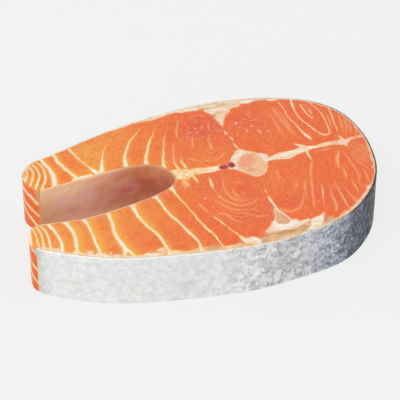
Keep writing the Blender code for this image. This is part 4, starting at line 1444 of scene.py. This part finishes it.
def skin_material():
    n = Nodes("silver_skin")
    blotch = n.noise(5.0, 4.0)
    fine = n.noise(0.9)
    x = n.axis("X")
    loose = n.shifted(2.0, 1.3)
    wander = n.plus(x, n.swing(blotch, 0.03))
    reach = SKIN_REACH * MM
    stops = [((at + SKIN_REACH) / (2 * SKIN_REACH), shade) for at, shade in SKIN_SHADES]
    colour = n.ramp(n.between(wander, -reach, reach, kind="LINEAR"), stops)
    # a darker olive-grey band near the skin's end on the near flap
    olive_band_x = n.plus(x, n.times(fine, 0.006))
    olive_band = n.all_between((olive_band_x, -0.0805, -0.0745, 1.0, 0.0), (blotch, 0.3, 0.6, 0.3, 0.8))
    colour = n.mix(olive_band, colour, (190, 188, 172))
    warm = n.all_between((n.noise(3.2), 0.5, 0.66, 0.0, 0.5), (x, -0.05, 0.0, 0.5, 1.0))
    colour = n.mix(warm, colour, n.fade(x, 0.03, 0.06, (214, 207, 198), (140, 142, 154)))

    # smooth grain on the belly, then scales on the flank and smaller ones on the back
    belly_grain = n.noise(3.0, 5.0, 0.66, vector=loose)
    belly_tone = n.between(belly_grain, 0.36, 0.64, 0.88, 1.07, "LINEAR")
    large, large_edge = n.scales(3.6, loose)
    small, small_edge = n.scales(1.8, loose)
    back = n.between(wander, 0.038, 0.056)
    tone = n.lerp(back, large, small)
    edge = n.lerp(back, large_edge, small_edge)
    speckle = n.math("SUBTRACT", n.noise(0.9, 2.0, 0.7, stretch=(1.0, 1.0, 0.55)), 0.5)
    tone = n.plus(tone, n.times(speckle, n.between(x, 0.0, 0.06, 0.8, 2.8)))
    tone = n.plus(tone, n.swing(n.noise(6.0, 2.0), 1.2))
    flank_tone = n.between(tone, -0.1, 1.1, 0.74, 1.19, "LINEAR")
    back_tone = n.between(tone, -0.5, 1.5, 0.32, 1.64, "LINEAR")
    scaly = n.between(n.plus(x, n.swing(n.noise(9.0, 2.0), 0.05)), -0.022, 0.034)
    colour = n.scaled(colour, n.lerp(scaly, belly_tone, n.lerp(back, flank_tone, back_tone)))

    # painted shade: darker outlines in the crevices between the scales, shown in patches
    crevice_shade = n.all_between((edge, 0.2, 0.0), (n.noise(2.8, 2.0), 0.42, 0.6, 0.1, 0.8))
    crevice_shade_colour = n.fade(x, 0.03, 0.06, (136, 134, 130), (50, 56, 70))
    colour = n.mix(n.times(crevice_shade, scaly), colour, crevice_shade_colour)
    # painted highlights: bright sparkles on the scales, greyer on the dark back
    sparkle_highlight = n.between(n.noise(1.1, 2.0, stretch=(1.0, 1.0, 0.6)), 0.62, 0.72)
    sparkle_highlight_colour = n.fade(x, 0.04, 0.07, (240, 242, 246), (150, 156, 172))
    colour = n.mix(n.times(sparkle_highlight, scaly, 0.7), colour, sparkle_highlight_colour)
    n.set(
        Base_Color=skin_top(n, colour, x, fine),
        Roughness=n.between(blotch, 0.3, 0.7, 0.3, 0.45),
        Coat_Weight=n.between(x, 0.03, 0.06, 0.2, 0.0),
        Coat_Roughness=0.2,
        Specular_IOR_Level=n.between(x, 0.03, 0.065, 0.5, 0.08),
    )
    n.bump(n.plus(fine, n.times(tone, scaly)), 0.12, 0.6)
    return n.material


def lining_material():
    n = Nodes("cavity_membrane")
    deep, fold, blot = n.field("deep"), n.field("fold"), n.field("blot")
    high, streak = n.field("high"), n.field("streak")
    fine = n.noise(1.2)
    wander = n.plus(deep, n.swing(blot, 0.3))
    colour = n.layers(
        (223, 170, 114),
        (wander, 0.08, 0.3, 1.0, (232, 180, 150)),
        (wander, 0.38, 0.72, 1.0, (214, 138, 106)),
        (wander, 0.72, 0.92, 1.0, (196, 104, 54)),
        (wander, 0.94, 1.0, 1.0, (206, 112, 46)),
    )
    # painted light and shade: the wall is paler towards its top and darker towards its foot, where
    # the cavity shades it
    painted_top_light = n.all_between((high, 0.58, 0.92, 0.0, 0.85), (deep, 0.52, 0.92, 1.0, 0.3))
    painted_top_light_colour = n.fade(deep, 0.3, 0.6, (255, 220, 180), (248, 190, 150))
    colour = n.layers(
        n.mix(painted_top_light, colour, painted_top_light_colour),
        # painted shade: darker towards the foot of the wall
        (high, 0.68, 0.3, 0.42, (176, 108, 76)),
        (streak, 0.52, 0.34, 0.12, (176, 104, 78)),
        (streak, 0.5, 0.68, 0.08, (240, 196, 170)),
        (fold, 0.5, 0.75, 0.3, (234, 182, 154)),
    )
    for name, share, shade in (
        ("lilac", 0.7, (224, 180, 176)),
        ("brown", 0.9, (174, 80, 18)),
        ("red", 0.85, (194, 80, 54)),
    ):
        colour = n.mix(n.field(name, share), colour, shade)
    colour = n.fade(fine, 0.5, 0.75, colour, (228, 176, 150), 0.25)
    ragged_high = n.plus(high, n.times(fine, 0.05))
    rim = n.all_between((ragged_high, 0.95, 0.995), (deep, 0.4, 0.8, 0.85, 0.35))
    rim_colour = n.fade(blot, 0.4, 0.6, (248, 202, 154), (244, 180, 132))
    n.set(
        Base_Color=n.mix(rim, colour, rim_colour),
        Roughness=0.36,
        Subsurface_Weight=0.1,
        Subsurface_Scale=0.002,
        Coat_Weight=0.2,
        Coat_Roughness=0.15,
    )
    n.bump(fine, 0.1, 0.5)
    return n.material


def bone_material():
    n = Nodes("sawn_bone")
    pores = n.noise(1.6)
    wander = n.plus(n.field("radius"), n.swing(pores, 0.2))
    cloud = n.plus(n.noise(6.0, 2.0), n.between(n.axis("X"), 0.021, 0.033, 0.12, -0.1))
    colour = n.layers(
        (243, 192, 142),
        (cloud, 0.4, 0.62, 1.0, (241, 158, 122)),
        (n.noise(2.6), 0.52, 0.7, 0.7, (238, 172, 104)),
        (wander, 0.85, 1.05, 0.5, (246, 206, 166)),
        (pores, 0.56, 0.78, 0.7, (250, 224, 196)),
        (pores, 0.42, 0.25, 0.5, (222, 138, 100)),
    )
    n.set(
        Base_Color=colour,
        Roughness=0.42,
        Subsurface_Weight=0.15,
        Subsurface_Scale=0.002,
        Coat_Weight=0.1,
    )
    n.bump(pores, 0.2, 0.6)
    return n.material


def clot_material():
    n = Nodes("clotted_blood")
    mottle = n.noise(0.9)
    colour = n.fade(mottle, 0.35, 0.65, (118, 16, 26), (186, 44, 42))
    n.set(Base_Color=colour, Roughness=0.25, Coat_Weight=0.3)
    n.bump(mottle, 0.15, 0.6)
    return n.material


def floor_material():
    n = Nodes("pale_ground")
    n.set(Base_Color=(0.12, 0.12, 0.12), Roughness=0.9, Specular_IOR_Level=0.0,
          Emission_Color=(1.0, 1.0, 1.0), Emission_Strength=0.77)
    return n.material


# ---------------------------------------------------------------- stage, light and camera
# the photo's camera, in millimetres, degrees and pixels
CAMERA_TILT = 42.0
CAMERA_TURN = 15.302
CAMERA_DISTANCE = 1145.716
CAMERA_TARGET = (4.941, 14.115, 0.0)
CAMERA_PIXELS = 2400.0
IMAGE_SIZE = 400.0
SENSOR = 36.0
# a hair above the foot, so that the lower face shows clean from below
FLOOR_LEVEL = 0.08
# in metres, watts and the world's own strength
FLOOR_SIZE = 6.0
KEY_PLACE = (-0.5, -0.4, 0.9)
KEY_SIZE = 0.6
KEY_POWER = 2.6
SKY_STRENGTH = 0.82


def aimed(direction):
    """The turn that points a camera or a light along a direction."""
    return direction.to_track_quat("-Z", "Y").to_euler()


def make_camera():
    tilt = math.radians(CAMERA_TILT)
    turn = math.radians(CAMERA_TURN)
    level = math.cos(tilt)
    forward = Vector((math.sin(turn) * level, math.cos(turn) * level, -math.sin(tilt)))
    data = bpy.data.cameras.new("camera")
    data.sensor_width = SENSOR
    data.lens = SENSOR * CAMERA_PIXELS / IMAGE_SIZE
    data.clip_start = 0.01
    data.clip_end = 50.0
    camera = bpy.data.objects.new("camera", data)
    camera.location = (Vector(CAMERA_TARGET) - forward * CAMERA_DISTANCE) * MM
    camera.rotation_euler = aimed(forward)
    bpy.context.scene.collection.objects.link(camera)
    bpy.context.scene.camera = camera


def make_key_light():
    data = bpy.data.lights.new("key", "AREA")
    data.shape = "DISK"
    data.size = KEY_SIZE
    data.energy = KEY_POWER
    light = bpy.data.objects.new("key", data)
    light.location = KEY_PLACE
    light.rotation_euler = aimed(-Vector(KEY_PLACE))
    bpy.context.scene.collection.objects.link(light)


def make_stage():
    bpy.ops.mesh.primitive_plane_add(size=FLOOR_SIZE, location=(0.0, 0.0, FLOOR_LEVEL * MM))
    floor = bpy.context.object
    floor.name = "ground"
    floor.data.materials.append(floor_material())
    world = bpy.data.worlds.new("studio")
    world.use_nodes = True
    background = world.node_tree.nodes["Background"]
    background.inputs["Color"].default_value = (1.0, 1.0, 1.0, 1.0)
    background.inputs["Strength"].default_value = SKY_STRENGTH
    bpy.context.scene.world = world
    make_key_light()
    bpy.context.scene.view_settings.view_transform = "Standard"


# ---------------------------------------------------------------- the steak
def main():
    make_camera()
    make_stage()
    make_flesh(flesh_material())
    skin_run, lining_run = runs(outline_points(LAYER_STEP))
    strip("silver_skin", skin_run, SKIN, SKIN_GRID, skin_material(), "skin", scale_relief)
    strip("cavity_lining", lining_run, LINING, LINING_GRID, lining_material(),
          "belly_lining", lining_relief)
    plug("backbone", VERTEBRA, BONE_GRID, bone_material(), "vertebra", bone_face)
    clot = clot_material()
    plug("aorta_clot", AORTA, CLOT_GRID, clot, "aorta", clot_face)
    plug("vein_clot", VEIN, CLOT_GRID, clot, "vein", clot_face)


main()
